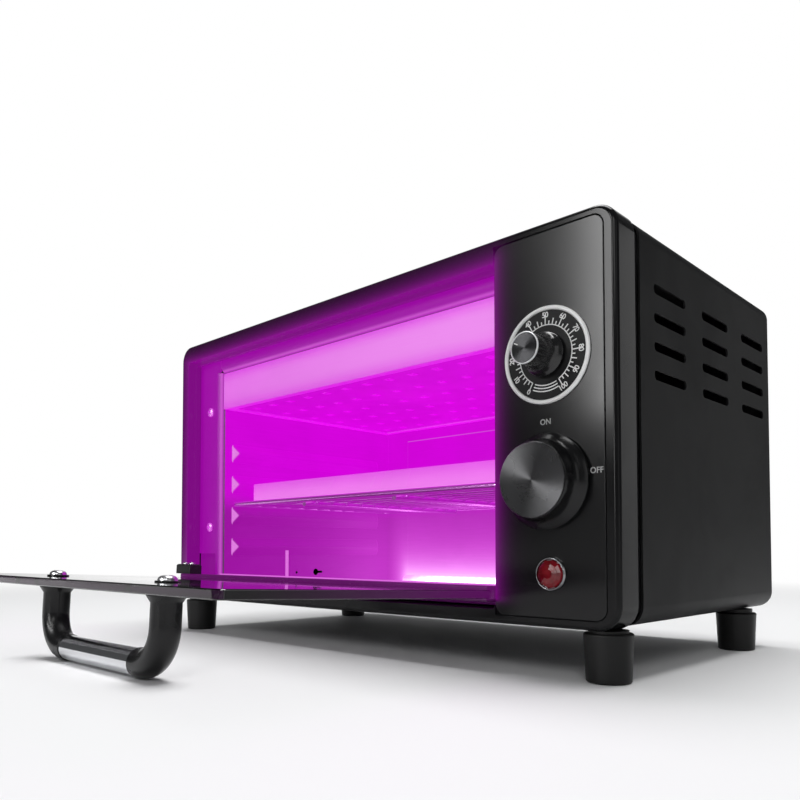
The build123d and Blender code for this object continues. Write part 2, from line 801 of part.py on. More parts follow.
def make_led_chips():
    """Rows of lamp chips on the board's underside."""
    high = lamp_unit_bottom + sheet
    inset = sheet + lamp_unit_lip + chip_margin
    x0 = chamber_left + inset
    x1 = chamber_right - inset
    y0 = flange_y + lamp_unit_front_gap + inset
    y1 = chamber_back - lamp_unit_front_gap - inset
    chips = []
    for row in range(chip_rows):
        for column in range(chip_columns):
            x = x0 + (x1 - x0) * column / (chip_columns - 1)
            y = y0 + (y1 - y0) * row / (chip_rows - 1)
            chips.append(block(x - chip_size / 2, x + chip_size / 2, y - chip_size / 2, y + chip_size / 2,
                               high - chip_thickness, high))
    return chips


def make_lower_lamp():
    """Lamp strip along the foot of the chamber's back wall, with a sloping face."""
    back = chamber_back - back_field_rise
    strip = block(chamber_left + back_field_margin, chamber_right - back_field_margin, back - lower_lamp_depth,
                  back, floor_z, floor_z + lower_lamp_height)
    front_edges = strip.edges().filter_by(Axis.X).group_by(Axis.Y)[0]
    return chamfer(front_edges.sort_by(Axis.Z)[-1:], lower_lamp_height * 0.6)


def lamp_wire_x():
    return chamber_right - lamp_wire_inset


def lamp_wire_y():
    """The lamps' wire leaves the driver near its rear end."""
    return driver_corner()[1] + driver_size[1] - lamp_wire_inset


def make_heat_sink():
    """Extruded heat sink on the board's upper side, its fins running to the right."""
    low = lamp_unit_bottom + sheet + lamp_board_thickness
    x0 = chamber_left + sink_margin
    x1 = chamber_right - sink_margin - sink_wire_room
    y0 = flange_y + sink_margin
    y1 = chamber_back - sink_margin
    sink = block(x0, x1, y0, y1, low, low + sink_base)
    for fin in range(sink_fin_count):
        y = y0 + (y1 - y0 - sink_fin) * fin / (sink_fin_count - 1)
        sink += block(x0, x1, y, y + sink_fin, low + sink_base, ceiling_z - sink_top_gap)
    return sink


def make_outer_case():
    """Wrap-round case: top, sides and two returns underneath, with flanges for the rear panel."""
    wrap = slab(-case_half, case_half, case_bottom, case_top, case_front, body_depth, case_corner)
    inner = case_half - sheet
    wrap -= slab(-inner, inner, case_bottom + sheet, case_top - sheet, case_front - 1, body_depth + 1,
                 case_corner - sheet)
    flange = slab(-inner, inner, case_bottom + sheet, case_top - sheet, body_depth - 2 * sheet,
                  body_depth - sheet, case_corner - sheet)
    flange -= slab(-inner + case_rear_flange, inner - case_rear_flange, bottom - 20,
                   case_top - sheet - case_rear_flange, body_depth - 10, body_depth + 1,
                   case_flange_corner)
    wrap += flange
    wrap -= block(-case_half + case_return, case_half - case_return, 0, body_depth + 1, bottom - 2, bottom + 6)
    for row in range(slot_rows):
        for column in range(slot_columns):
            wrap -= slot_x(case_half, slot_first_column + slot_length / 2 + column * slot_column_pitch,
                           top - slot_first_row - row * slot_row_pitch, slot_length, slot_height, 4)
    for x, z in rear_screw_places():
        wrap -= rod_y(x, z, body_depth - 5, body_depth + 1, boss_screw_radius)
    for side in (-1, 1):
        wrap -= rod_z(side * (half_width - foot_side_inset), rear_foot_y, bottom - 2, bottom + 4,
                      foot_screw_radius + running_clearance)
    return wrap


def rear_screw_places():
    edge = case_half - sheet - case_rear_flange / 2
    heights = (bottom + rear_screw_from_ends, (bottom + top) / 2, top - rear_screw_from_ends)
    sides = [(side * edge, z) for side in (-1, 1) for z in heights]
    return sides + [(0, case_top - sheet - case_rear_flange / 2)]


def make_rear_panel():
    """Flat rear panel with rows of vents and the hole for the cord gland."""
    inner = case_half - sheet - face_gap
    panel = slab(-inner, inner, pan_z + sheet + 0.2, case_top - sheet - face_gap, body_depth - sheet, body_depth,
                 rear_corner)
    for row in range(rear_slot_rows):
        z = top - rear_slot_first - row * rear_slot_row_pitch
        for column in range(rear_slot_columns):
            x = (column - (rear_slot_columns - 1) / 2) * rear_slot_pitch
            panel -= slot_y(x, body_depth, z, slot_length, slot_height, 4)
    panel -= rod_y(gland_x, gland_z, body_depth - 5, body_depth + 1, gland_thread_radius + 0.1)
    for x, z in rear_screw_places():
        panel -= rod_y(x, z, body_depth - 5, body_depth + 1, boss_screw_radius)
    return panel


def make_rear_screws():
    return [screw_y(x, z, body_depth, small_screw_head, small_screw_head_radius, rear_screw_length,
                    boss_screw_radius - 0.05, 1) for x, z in rear_screw_places()]


def make_base_pan():
    """Floor pan with a pressed well that hangs a little lower than the body."""
    x0 = -half_width + well_left_margin
    x1 = half_width - well_right_margin
    y0 = case_front + well_front_gap
    y1 = body_depth - well_front_gap
    reach = case_half - case_corner - sheet
    pan = block(-reach, reach, case_front + face_gap, body_depth, pan_z, pan_z + sheet)
    well = block(x0, x1, y0, y1, bottom - well_drop, pan_z + sheet)
    well = fillet(well.edges().filter_by(Axis.Z), well_corner)
    hollow = block(x0 + sheet, x1 - sheet, y0 + sheet, y1 - sheet, well_floor, pan_z + 2)
    hollow = fillet(hollow.edges().filter_by(Axis.Z), well_corner - sheet)
    pan = pan - hollow + (well - hollow)
    driver_x, driver_y, driver_z = driver_corner()
    for vent in range(pan_vent_count):
        x = driver_x + pan_vent_margin + vent * pan_vent_pitch
        pan -= block(x, x + pan_vent_width, driver_y + pan_vent_end, driver_y + driver_size[1] - pan_vent_end,
                     bottom - 10, bottom + 10)
    for side in (-1, 1):
        pan -= rod_z(side * (half_width - foot_side_inset), rear_foot_y, bottom - 2, bottom + 8,
                     foot_screw_radius + running_clearance)
    return pan


def make_cable_gland():
    """Cord gland: flange and nose outside, threaded tube inside, one bore right through."""
    return turned(gland_x, gland_z, [
        (gland_bore_radius, body_depth - gland_inside), (gland_thread_radius, body_depth - gland_inside),
        (gland_thread_radius, body_depth), (gland_flange_radius, body_depth),
        (gland_flange_radius, body_depth + gland_flange), (gland_thread_radius + 0.8, body_depth + gland_flange),
        (gland_thread_radius - 1.2, body_depth + gland_reach), (gland_bore_radius, body_depth + gland_reach)])


def make_gland_nut():
    outline = Plane.XZ.offset(-(body_depth - sheet - gland_nut)) * Pos(gland_x, gland_z) \
        * RegularPolygon(gland_flange_radius + 1, 6)
    nut = extrude(outline, amount=-gland_nut)
    return nut - rod_y(gland_x, gland_z, body_depth - 20, body_depth + 1, gland_thread_radius + 0.05)


def block_corner():
    """Lowest, leftmost, front corner of the terminal block, behind the timer and below it."""
    timer_back = bezel_front + timer_case[1] + tag_length
    return (control_x - block_from_control, timer_back + wire_room - block_size[1] / 2, well_floor)


def driver_corner():
    """Lowest, leftmost, front corner of the lamp driver's can, over its feet."""
    return (chamber_right + sheet + driver_side_gap, block_corner()[1] + block_size[1] + block_gap,
            well_floor + driver_rise)


def make_led_driver():
    """Lamp driver in its folded can, on two feet that stand in the pan's well."""
    x, y, z = driver_corner()
    width, length, height = driver_size
    can = block(x, x + width, y, y + length, z, z + height)
    can = fillet(can.edges().filter_by(Axis.Y), driver_corner_radius)
    for end in (driver_foot_inset, length - driver_foot_inset - driver_foot):
        can += block(x + driver_foot_side, x + width - driver_foot_side, y + end, y + end + driver_foot,
                     well_floor, z + 1)
    return can


def make_terminal_block():
    x, y, z = block_corner()
    width, depth, height = block_size
    body = block(x, x + width, y, y + depth, z, z + height)
    for pole_x in pole_places():
        body -= rod_z(pole_x, y + depth / 2, z + height - pole_depth, z + height + 1, pole_radius)
    return body


def pole_places():
    x, y, z = block_corner()
    return [x + block_size[0] * (pole + 0.5) / 4 for pole in range(4)]


def wire(points):
    """One insulated wire: straight runs joined by arcs."""
    path = FilletPolyline(*points, radius=wire_bend)
    start = Plane(origin=path @ 0, z_dir=path % 0)
    return sweep(start * Circle(wire_radius), path=path)


def make_wiring():
    """Wires from the timer and the switch down to the block, and from the driver up to the lamps."""
    x, y, z = driver_corner()
    block_x, block_y, block_z = block_corner()
    width, depth, height = block_size
    pole_y = block_y + depth / 2
    pole_end = block_z + height - pole_depth
    timer_back = bezel_front + timer_case[1] + tag_length
    switch_back = bezel_front + switch_case[1] + switch_tag
    left_tag = control_x - switch_case[0] / 4
    poles = pole_places()
    starts = [
        (control_x - timer_tag_offset, timer_back, dial_z, poles[0]),
        (control_x + timer_tag_offset, timer_back, dial_z, poles[3]),
        (left_tag, switch_back, switch_z + switch_case[2] / 4, poles[1]),
        (left_tag, switch_back, switch_z - switch_case[2] / 4, poles[2]),
    ]
    wires = []
    for tag_x, tag_y, tag_z, pole_x in starts:
        turn_z = tag_z - wire_drop
        wires.append(wire([(tag_x, tag_y, tag_z), (tag_x, pole_y, tag_z), (pole_x, pole_y, turn_z),
                           (pole_x, pole_y, pole_end)]))
    up_x = x + driver_wire_x
    up_y = lamp_wire_y()
    over_z = ceiling_z + sheet + wire_bend
    board_top = lamp_unit_bottom + sheet + lamp_board_thickness
    wires.append(wire([(up_x, up_y, z + driver_size[2]), (up_x, up_y, over_z), (lamp_wire_x(), up_y, over_z),
                       (lamp_wire_x(), up_y, board_top)]))
    return wires


def make_foot(x, y, seat_z):
    """Tapered foot with a short neck and a deep recess for its screw."""
    shoulder = bottom - foot_neck
    edge = foot_edge
    profile = make_face(Polyline(
        (0, 0), (foot_bottom_radius - edge, 0), (foot_bottom_radius, edge), (foot_top_radius, shoulder - edge),
        (foot_top_radius - edge, shoulder), (foot_neck_radius, shoulder), (foot_neck_radius, seat_z), (0, seat_z),
        close=True))
    foot = revolve(Plane.XZ * profile, Axis.Z)
    foot -= rod_z(0, 0, -1, foot_recess, foot_recess_radius)
    foot -= rod_z(0, 0, 0, seat_z + 1, foot_screw_radius + running_clearance)
    return Pos(x, y, 0) * foot


def foot_places():
    """Name, x, y and the height of the surface that each foot is screwed to."""
    x = half_width - foot_side_inset
    return [
        ("foot_front_left", -x, foot_front_y, bottom), ("foot_front_right", x, foot_front_y, bottom),
        ("foot_rear_left", -x, rear_foot_y, case_bottom), ("foot_rear_right", x, rear_foot_y, case_bottom)]


def make_foot_screws():
    screws = []
    for name, x, y, seat_z in foot_places():
        screw = rod_z(x, y, foot_recess - foot_screw_head, foot_recess, foot_screw_head_radius)
        screws.append(screw + rod_z(x, y, foot_recess, seat_z + 2 * sheet, foot_screw_radius))
    return screws


def make_door_glass():
    """Tempered glass pane, held in the hinge rail and drilled for the handle."""
    pane = slab(door_left, door_right, glass_bottom, door_top, glass_outer, glass_inner, glass_corner)
    edges = pane.faces().filter_by(Axis.Y).edges()
    pane = chamfer(edges, glass_edge)
    for x in handle_places():
        pane -= rod_y(x, handle_z, -5, 10, handle_screw_radius + glass_hole_gap)
    return pane


def make_hinge_rail():
    """Rail along the door's lower edge: a slot for the glass and a bore at each end for the hinge pins."""
    rail = block(door_left, door_right, rail_outer, rail_inner, hinge_z - rail_drop, glass_bottom + rail_grip)
    rail = fillet(rail.edges().filter_by(Axis.X), rail_edge)
    slot = block(door_left - 1, door_right + 1, glass_outer - 0.05, glass_inner + 0.05, glass_bottom, door_top)
    rail -= slot
    depth = hinge_pin_reach + 1.0
    bore = hinge_pin_radius + running_clearance
    rail -= rod_x(hinge_y, hinge_z, door_left - 1, door_left + depth, bore)
    return rail - rod_x(hinge_y, hinge_z, door_right - depth, door_right + 1, bore)


def make_stop_bracket():
    """Stop bracket on the inner side of the rail, at the door's left end."""
    x0 = door_left + stop_bracket_inset
    z0 = hinge_z + stop_bracket_drop
    bracket = block(x0, x0 + stop_bracket_width, rail_inner, rail_inner + stop_bracket_depth, z0,
                    z0 + stop_bracket_height - stop_bracket_drop)
    edges = bracket.faces().sort_by(Axis.Y)[-1].edges()
    bracket = fillet(edges, stop_bracket_edge)
    face = rail_inner + stop_bracket_depth
    for x, z in stop_screw_places():
        bracket -= rod_y(x, z, face - stop_screw_depth, face + 1, boss_screw_radius)
    return bracket


def stop_screw_places():
    z = hinge_z + (stop_bracket_drop + stop_bracket_height) / 2
    left = door_left + stop_bracket_inset
    return [(left + stop_bracket_width * share, z) for share in (stop_screw_share, 1 - stop_screw_share)]


def make_stop_screws():
    face = rail_inner + stop_bracket_depth
    return [screw_y(x, z, face, door_screw_head, door_screw_radius, stop_screw_depth - 0.5,
                    boss_screw_radius - 0.05, 1) for x, z in stop_screw_places()]


def handle_places():
    return [handle_left, handle_left + handle_spacing]


def make_handle_leg(x, direction):
    """Moulded elbow: a foot on the glass, a leg, a bend and a socket for the grip tube."""
    grip_gap = (handle_spacing - grip_length) / 2
    end_x = x + direction * grip_gap
    path = FilletPolyline((x, glass_outer - handle_foot_thickness, handle_z), (x, grip_y, handle_z),
                          (end_x, grip_y, handle_z), radius=handle_bend)
    start = Plane(origin=path @ 0, z_dir=path % 0)
    leg = sweep(start * Circle(handle_radius), path=path)
    foot_end = glass_outer - handle_foot_thickness
    leg += turned(x, handle_z, [
        (0, glass_outer), (handle_foot_radius, glass_outer), (handle_foot_radius, foot_end),
        (handle_radius, foot_end - handle_flare), (0, foot_end - handle_flare)])
    low, high = sorted((end_x + direction, end_x - direction * (grip_spigot + 0.5)))
    leg -= rod_x(grip_y, handle_z, low, high, grip_spigot_radius + running_clearance)
    return leg - rod_y(x, handle_z, glass_outer - handle_screw_bite - 1, glass_outer + 1,
                       handle_screw_radius + running_clearance)


def make_handle_grip():
    """Bright tube between the two elbows, with a spigot at each end."""
    middle = handle_left + handle_spacing / 2
    tube = rod_x(grip_y, handle_z, middle - grip_length / 2, middle + grip_length / 2, grip_radius)
    return tube + rod_x(grip_y, handle_z, middle - grip_length / 2 - grip_spigot,
                        middle + grip_length / 2 + grip_spigot, grip_spigot_radius)


def make_handle_washers():
    return [rod_y(x, handle_z, glass_inner, glass_inner + handle_washer, handle_washer_radius)
            - rod_y(x, handle_z, 0, 10, handle_screw_radius + 0.1) for x in handle_places()]


def make_handle_screws():
    face = glass_inner + handle_washer
    return [screw_y(x, handle_z, face, handle_screw_head, handle_screw_head_radius,
                    face - glass_outer + handle_screw_bite, handle_screw_radius, 1) for x in handle_places()]


def make_hinge_pin(x_door, direction):
    """Fixed pin through the bezel's jamb into the rail."""
    outer = x_door + direction * (door_side_gap + bezel_wall + 1)
    low, high = sorted((x_door - direction * hinge_pin_reach, outer))
    return rod_x(hinge_y, hinge_z, low, high, hinge_pin_radius)


def make_wire_rack():
    """Welded wire rack: a round-cornered frame, cross wires and two bearers underneath."""
    x0 = chamber_left + rack_side
    x1 = chamber_right - rack_side
    outline = Pos((x0 + x1) / 2, (rack_front + rack_back) / 2, rack_z) \
        * RectangleRounded(x1 - x0, rack_back - rack_front, rack_corner)
    path = outline.wire()
    start = Plane(origin=path @ 0, z_dir=path % 0)
    rack = sweep(start * Circle(rack_wire), path=path)
    for row in range(1, rack_cross_count + 1):
        y = rack_front + (rack_back - rack_front) * row / (rack_cross_count + 1)
        rack += rod_x(y, rack_z, x0, x1, rack_cross_wire)
    bearer_z = rack_z - rack_cross_wire - rack_wire + rack_weld
    for share in bearer_shares:
        x = x0 + (x1 - x0) * share
        rack += Pos(x, (rack_front + rack_back) / 2, bearer_z) * Rot(90, 0, 0) \
            * Cylinder(rack_wire, rack_back - rack_front - 2 * rack_wire)
    return rack


def make_curing_tray():
    """Shallow pressed tray that lies on the rack."""
    x0 = chamber_left + tray_side_gap
    x1 = chamber_right - tray_side_gap
    y1 = chamber_back - tray_back_gap
    plan = Pos((x0 + x1) / 2, (tray_front + y1) / 2, tray_bottom)
    outer = extrude(plan * RectangleRounded(x1 - x0, y1 - tray_front, tray_corner), amount=tray_height)
    inner = extrude(plan * Pos(0, 0, sheet) * RectangleRounded(x1 - x0 - 2 * sheet, y1 - tray_front - 2 * sheet,
                                                               tray_corner - sheet), amount=tray_height)
    return outer - inner


fixed_pieces = {
    "front_bezel": make_front_bezel(),
    "bezel_screws": make_bezel_screws(),
    "control_panel": make_control_panel(),
    "dial_plate": make_dial_plate(),
    "dial_ring": make_dial_ring(),
    "timer_body": make_timer_body(),
    "timer_screws": make_timer_screws(),
    "timer_shaft": make_timer_shaft(),
    "timer_knob": make_timer_knob(),
    "timer_knob_cap": make_timer_knob_cap(),
    "switch_body": make_switch_body(),
    "switch_nut": make_switch_nut(),
    "switch_shaft": make_switch_shaft(),
    "switch_knob": make_switch_knob(),
    "switch_knob_cap": make_switch_knob_cap(),
    "indicator_lens": make_lamp_lens(),
    "indicator_ring": make_lamp_ring(),
    "indicator_body": make_lamp_body(),
    "front_frame": make_front_frame(),
    "liner_left": make_liner_left(),
    "liner_right": make_liner_right(),
    "runners_left": make_runners(chamber_left, 1),
    "runners_right": make_runners(chamber_right, -1),
    "liner_floor": make_liner_floor(),
    "liner_ceiling": make_liner_ceiling(),
    "liner_back": make_liner_back(),
    "flange_screws": make_flange_screws(),
    "lamp_housing": make_lamp_housing(),
    "led_board": make_led_board(),
    "led_chips": make_led_chips(),
    "heat_sink": make_heat_sink(),
    "lower_lamp": make_lower_lamp(),
    "outer_case": make_outer_case(),
    "rear_panel": make_rear_panel(),
    "rear_screws": make_rear_screws(),
    "base_pan": make_base_pan(),
    "cable_gland": make_cable_gland(),
    "gland_nut": make_gland_nut(),
    "led_driver": make_led_driver(),
    "terminal_block": make_terminal_block(),
    "wiring": make_wiring(),
    "foot_screws": make_foot_screws(),
    "hinge_pin_left": make_hinge_pin(door_left, -1),
    "hinge_pin_right": make_hinge_pin(door_right, 1),
    "wire_rack": make_wire_rack(),
    "curing_tray": make_curing_tray(),
}
for name, x, y, seat_z in foot_places():
    fixed_pieces[name] = make_foot(x, y, seat_z)

door_pieces = {
    "door_glass": make_door_glass(),
    "hinge_rail": make_hinge_rail(),
    "stop_bracket": make_stop_bracket(),
    "stop_screws": make_stop_screws(),
    "handle_leg_left": make_handle_leg(handle_places()[0], 1),
    "handle_leg_right": make_handle_leg(handle_places()[1], -1),
    "handle_grip": make_handle_grip(),
    "handle_washers": make_handle_washers(),
    "handle_screws": make_handle_screws(),
}

hinge_line = Axis((0, hinge_y, hinge_z), (1, 0, 0))
to_plan_middle = Location((0, -plan_middle, 0))


def placed(piece, opened):
    """The solids of a piece at rest: the door's pieces are turned open about the hinge."""
    solids = [solid for item in (piece if isinstance(piece, list) else [piece]) for solid in item.solids()]
    if opened:
        solids = [solid.rotate(hinge_line, opening_angle) for solid in solids]
    return [solid.moved(to_plan_middle) for solid in solids]


os.makedirs("parts", exist_ok=True)
for pieces, opened in ((fixed_pieces, False), (door_pieces, True)):
    for name, piece in pieces.items():
        solids = placed(piece, opened)
        export_step(solids[0] if len(solids) == 1 else Compound(children=solids), f"parts/{name}.step")

print("bezel front at y", round(-plan_middle, 3))
print("hinge at y, z", round(hinge_y - plan_middle, 3), round(hinge_z, 3))
print("control axis x", control_x, "dial z", dial_z, "switch z", switch_z)
print("door opens by", opening_angle, "degrees")
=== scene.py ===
import functools
import json
import math

import bmesh
import bpy
from mathutils import Matrix, Vector

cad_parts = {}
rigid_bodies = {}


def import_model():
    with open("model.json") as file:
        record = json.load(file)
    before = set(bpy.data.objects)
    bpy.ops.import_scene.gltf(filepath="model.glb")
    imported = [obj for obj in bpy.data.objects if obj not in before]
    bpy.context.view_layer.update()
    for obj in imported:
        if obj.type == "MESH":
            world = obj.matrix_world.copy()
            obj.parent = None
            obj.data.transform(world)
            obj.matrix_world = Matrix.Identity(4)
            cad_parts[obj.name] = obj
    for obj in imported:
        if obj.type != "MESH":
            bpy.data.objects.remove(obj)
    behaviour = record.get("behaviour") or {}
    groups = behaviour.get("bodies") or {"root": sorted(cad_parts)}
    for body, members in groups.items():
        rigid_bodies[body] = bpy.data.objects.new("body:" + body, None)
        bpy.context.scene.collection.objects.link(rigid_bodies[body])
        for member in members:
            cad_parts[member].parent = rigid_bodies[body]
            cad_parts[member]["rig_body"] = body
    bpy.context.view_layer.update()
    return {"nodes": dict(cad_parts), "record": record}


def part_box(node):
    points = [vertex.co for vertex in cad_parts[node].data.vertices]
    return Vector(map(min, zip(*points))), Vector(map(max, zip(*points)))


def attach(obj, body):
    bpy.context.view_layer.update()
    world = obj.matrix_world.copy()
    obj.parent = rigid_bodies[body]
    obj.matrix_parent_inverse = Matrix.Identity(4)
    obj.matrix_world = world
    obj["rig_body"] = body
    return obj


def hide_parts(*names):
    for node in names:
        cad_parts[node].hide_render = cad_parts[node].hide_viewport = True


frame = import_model()
mm = 0.001


# The place it stands in: white all round, a soft lamp overhead and a weaker one by the camera, four reflector cards
# that show in gloss alone, and a camera almost at table height, off to the right.
camera_place = Vector((333.4, -324.75, 59.0)) * mm
camera_yaw = math.radians(43.8)
camera_pitch = math.radians(2.06)
camera_lens = 33.77
camera_shift = (0.0043, 0.154)

camera_data = bpy.data.cameras.new("camera")
camera_data.lens = camera_lens
camera_data.sensor_width = 36.0
camera_data.shift_x, camera_data.shift_y = camera_shift
camera_data.clip_start = 0.01
camera = bpy.data.objects.new("camera", camera_data)
camera.location = camera_place
camera.rotation_euler = (math.pi / 2 + camera_pitch, 0.0, camera_yaw)
bpy.context.scene.collection.objects.link(camera)
bpy.context.scene.camera = camera
bpy.context.scene.view_settings.view_transform = "Standard"


def add_node(tree, kind, settings=None, inputs=None):
    """One node; an input is either a value or another node's output."""
    made = tree.nodes.new(kind)
    for key, value in (settings or {}).items():
        setattr(made, key, value)
    for key, value in (inputs or {}).items():
        if isinstance(value, bpy.types.NodeSocket):
            tree.links.new(value, made.inputs[key])
        else:
            made.inputs[key].default_value = value
    return made


def shader_node(tree, kind, settings=None, inputs=None):
    return add_node(tree, "ShaderNode" + kind, settings, inputs)


def math_node(operation, *values):
    """One sum, in the tree that the sockets among the values belong to."""
    tree = next(value.id_data for value in values if isinstance(value, bpy.types.NodeSocket))
    return shader_node(tree, "Math", {"operation": operation}, dict(enumerate(values))).outputs[0]


def times(*values):
    return functools.reduce(lambda product, value: math_node("MULTIPLY", product, value), values)


def largest(*values):
    return functools.reduce(lambda most, value: math_node("MAXIMUM", most, value), values)


def split(vector):
    return shader_node(vector.id_data, "SeparateXYZ", inputs={0: vector}).outputs


def ramp(value, start, end):
    """A smooth step from 0 at start to 1 at end."""
    return shader_node(value.id_data, "MapRange", {"interpolation_type": "SMOOTHSTEP"}, {
        "Value": value, "From Min": start, "From Max": end}).outputs["Result"]


room_fill = 0.21
room_seen_in_gloss = 0.08


def light_the_room():
    """White where it is seen directly or mirrored from the left and behind, and dim elsewhere."""
    world = bpy.data.worlds.new("room")
    bpy.context.scene.world = world
    world.use_nodes = True
    tree = world.node_tree
    tree.nodes.clear()
    seen = shader_node(tree, "Background", inputs={"Color": (1, 1, 1, 1), "Strength": 1.0})
    path = shader_node(tree, "LightPath").outputs
    level = shader_node(tree, "Mix", {"data_type": "FLOAT"}, {
        0: path["Is Glossy Ray"], 2: room_fill, 3: room_seen_in_gloss})
    dim = shader_node(tree, "Background", inputs={"Color": (0.96, 0.98, 1.0, 1), "Strength": level.outputs[0]})
    at = split(shader_node(tree, "TexCoord").outputs["Generated"])
    mirrored = times(path["Is Glossy Ray"], ramp(at["Y"], 0.0, 0.5), ramp(at["X"], -0.05, -0.35))
    white = largest(mirrored, path["Is Camera Ray"], path["Is Transmission Ray"])
    mix = shader_node(tree, "MixShader", inputs={0: white, 1: dim.outputs[0], 2: seen.outputs[0]})
    tree.links.new(mix.outputs[0], shader_node(tree, "OutputWorld").inputs["Surface"])


def soft_box(name, place, target, size, power, lights_matt=True):
    """A soft lamp; one that doesn't light matt surfaces is a reflector card seen only in gloss."""
    data = bpy.data.lights.new(name, "AREA")
    data.shape = "RECTANGLE"
    data.size, data.size_y = size
    data.energy = power
    lamp = bpy.data.objects.new(name, data)
    lamp.location = place
    lamp.rotation_euler = (Vector(target) - Vector(place)).to_track_quat("-Z", "Y").to_euler()
    lamp.visible_diffuse = lights_matt
    bpy.context.scene.collection.objects.link(lamp)


light_the_room()
soft_box("overhead", (0.0, 0.22, 1.8), (0.0, 0.0, 0.0), (1.2, 0.8), 30)
soft_box("camera_box", (0.95, -1.25, 0.95), (0.05, 0.0, 0.1), (0.6, 0.6), 5.5)
soft_box("front_card", (-0.5, -1.4, 0.80), (0.16, 0.0, 0.14), (0.18, 0.85), 9.0, lights_matt=False)
soft_box("edge_card", (0.04, -1.25, 0.56), (0.17, 0.0, 0.1), (0.14, 0.9), 7.0, lights_matt=False)
soft_box("right_card", (1.5, -0.35, 0.5), (0.17, 0.0, 0.1), (0.5, 1.0), 1.2, lights_matt=False)
soft_box("rear_card", (0.94, 1.64, 0.45), (0.18, 0.0, 0.1), (0.3, 1.0), 0.9, lights_matt=False)


# The floor: pale matt board that keeps the shadow near the object and fades to white further off.
floor_reach = 8.0
near_radius = 0.55
far_radius = 1.25


def object_place(tree):
    return shader_node(tree, "TexCoord").outputs["Object"]


def length_of(vector):
    return shader_node(vector.id_data, "VectorMath", {"operation": "LENGTH"}, {0: vector}).outputs["Value"]


def feed(node, **sources):
    """Fills a node's inputs, each from another node's output or with a plain value; underscores stand for spaces."""
    for key, value in sources.items():
        socket = node.inputs[key.replace("_", " ")]
        if isinstance(value, bpy.types.NodeSocket):
            node.id_data.links.new(value, socket)
        else:
            socket.default_value = value


def new_material(name, **values):
    """A material with its Principled shader set, and the tree and shader to go on with."""
    material = bpy.data.materials.new(name)
    material.use_nodes = True
    shader = material.node_tree.nodes["Principled BSDF"]
    feed(shader, **values)
    return material, material.node_tree, shader


def lay_floor():
    mesh = bpy.data.meshes.new("floor")
    mesh.from_pydata([(x * floor_reach, y * floor_reach, 0) for x, y in ((-1, -1), (1, -1), (1, 1), (-1, 1))], [],
                     [(0, 1, 2, 3)])
    floor = bpy.data.objects.new("floor", mesh)
    bpy.context.scene.collection.objects.link(floor)
    material, tree, shader = new_material(
        "floor", Base_Color=(0.88, 0.88, 0.885, 1), Roughness=0.7, Specular_IOR_Level=0.2)
    glow = shader_node(tree, "Emission", inputs={"Color": (1, 1, 1, 1), "Strength": 1.0})
    path = shader_node(tree, "LightPath").outputs
    place = object_place(tree)
    mirrored = times(path["Is Glossy Ray"], ramp(split(place)["X"], 0.1, -0.3))
    seen = largest(path["Is Camera Ray"], path["Is Transmission Ray"], mirrored)
    far = ramp(length_of(place), near_radius, far_radius)
    both = shader_node(tree, "MixShader", inputs={0: times(seen, far), 1: shader.outputs[0], 2: glow.outputs[0]})
    tree.links.new(both.outputs[0], tree.nodes["Material Output"].inputs["Surface"])
    mesh.materials.append(material)


lay_floor()


# The base pan: one pressed sheet under the body, powder-coated black, with a shallow well and a row of vents. It is
# spot-welded to the frame.
def shader_group(name, inputs, outputs, build):
    """A shader node group of plain numbers; build(tree, inputs) gives the outputs in their order."""
    tree = bpy.data.node_groups.new(name, "ShaderNodeTree")
    for label, value in inputs.items():
        tree.interface.new_socket(label, in_out="INPUT", socket_type="NodeSocketFloat").default_value = value
    for label in outputs:
        tree.interface.new_socket(label, in_out="OUTPUT", socket_type="NodeSocketFloat")
    source = tree.nodes.new("NodeGroupInput").outputs
    target = tree.nodes.new("NodeGroupOutput").inputs
    for label, value in zip(outputs, build(tree, source)):
        tree.links.new(value, target[label])
    return tree


def from_group(tree, group, **inputs):
    """What a group puts out, with its named inputs set."""
    made = shader_node(tree, "Group", {"node_tree": group})
    feed(made, **inputs)
    return made.outputs


def noise(place, scale, detail, roughness=0.5, distortion=0.0):
    return shader_node(place.id_data, "TexNoise", inputs={
        "Vector": place, "Scale": scale, "Detail": detail, "Roughness": roughness,
        "Distortion": distortion}).outputs[0]


def build_grain(tree, source):
    place = object_place(tree)
    fine = noise(place, source["Grain scale"], 3.0, 0.6)
    return fine, ramp(noise(place, source["Smudge scale"], 4.0, 0.55, 0.6), 0.35, 0.7)


def build_wear(tree, source):
    flat = shader_node(tree, "NewGeometry")
    rounded = shader_node(tree, "Bevel", {"samples": 4}, {"Radius": source["Width"]})
    same = shader_node(tree, "VectorMath", {"operation": "DOT_PRODUCT"},
                       {0: flat.outputs["Normal"], 1: rounded.outputs["Normal"]})
    patch = ramp(noise(object_place(tree), 160.0, 5.0, 0.7), 0.42, 0.62)
    return [times(ramp(same.outputs["Value"], 0.985, 0.80), patch)]


def build_dust(tree, source):
    upward = split(shader_node(tree, "NewGeometry").outputs["Normal"])["Z"]
    specks = noise(object_place(tree), 420.0, 4.0, 0.8)
    return [times(ramp(upward, 0.2, 1.0), ramp(specks, 0.55, 0.75))]


grain_group = shader_group("grain and smudge", {"Grain scale": 900.0, "Smudge scale": 14.0}, ("Grain", "Smudge"),
                           build_grain)
wear_group = shader_group("edge wear", {"Width": 0.0006}, ("Edge",), build_wear)
dust_group = shader_group("dust", {}, ("Dust",), build_dust)
dust_colour = (0.2, 0.195, 0.19, 1)


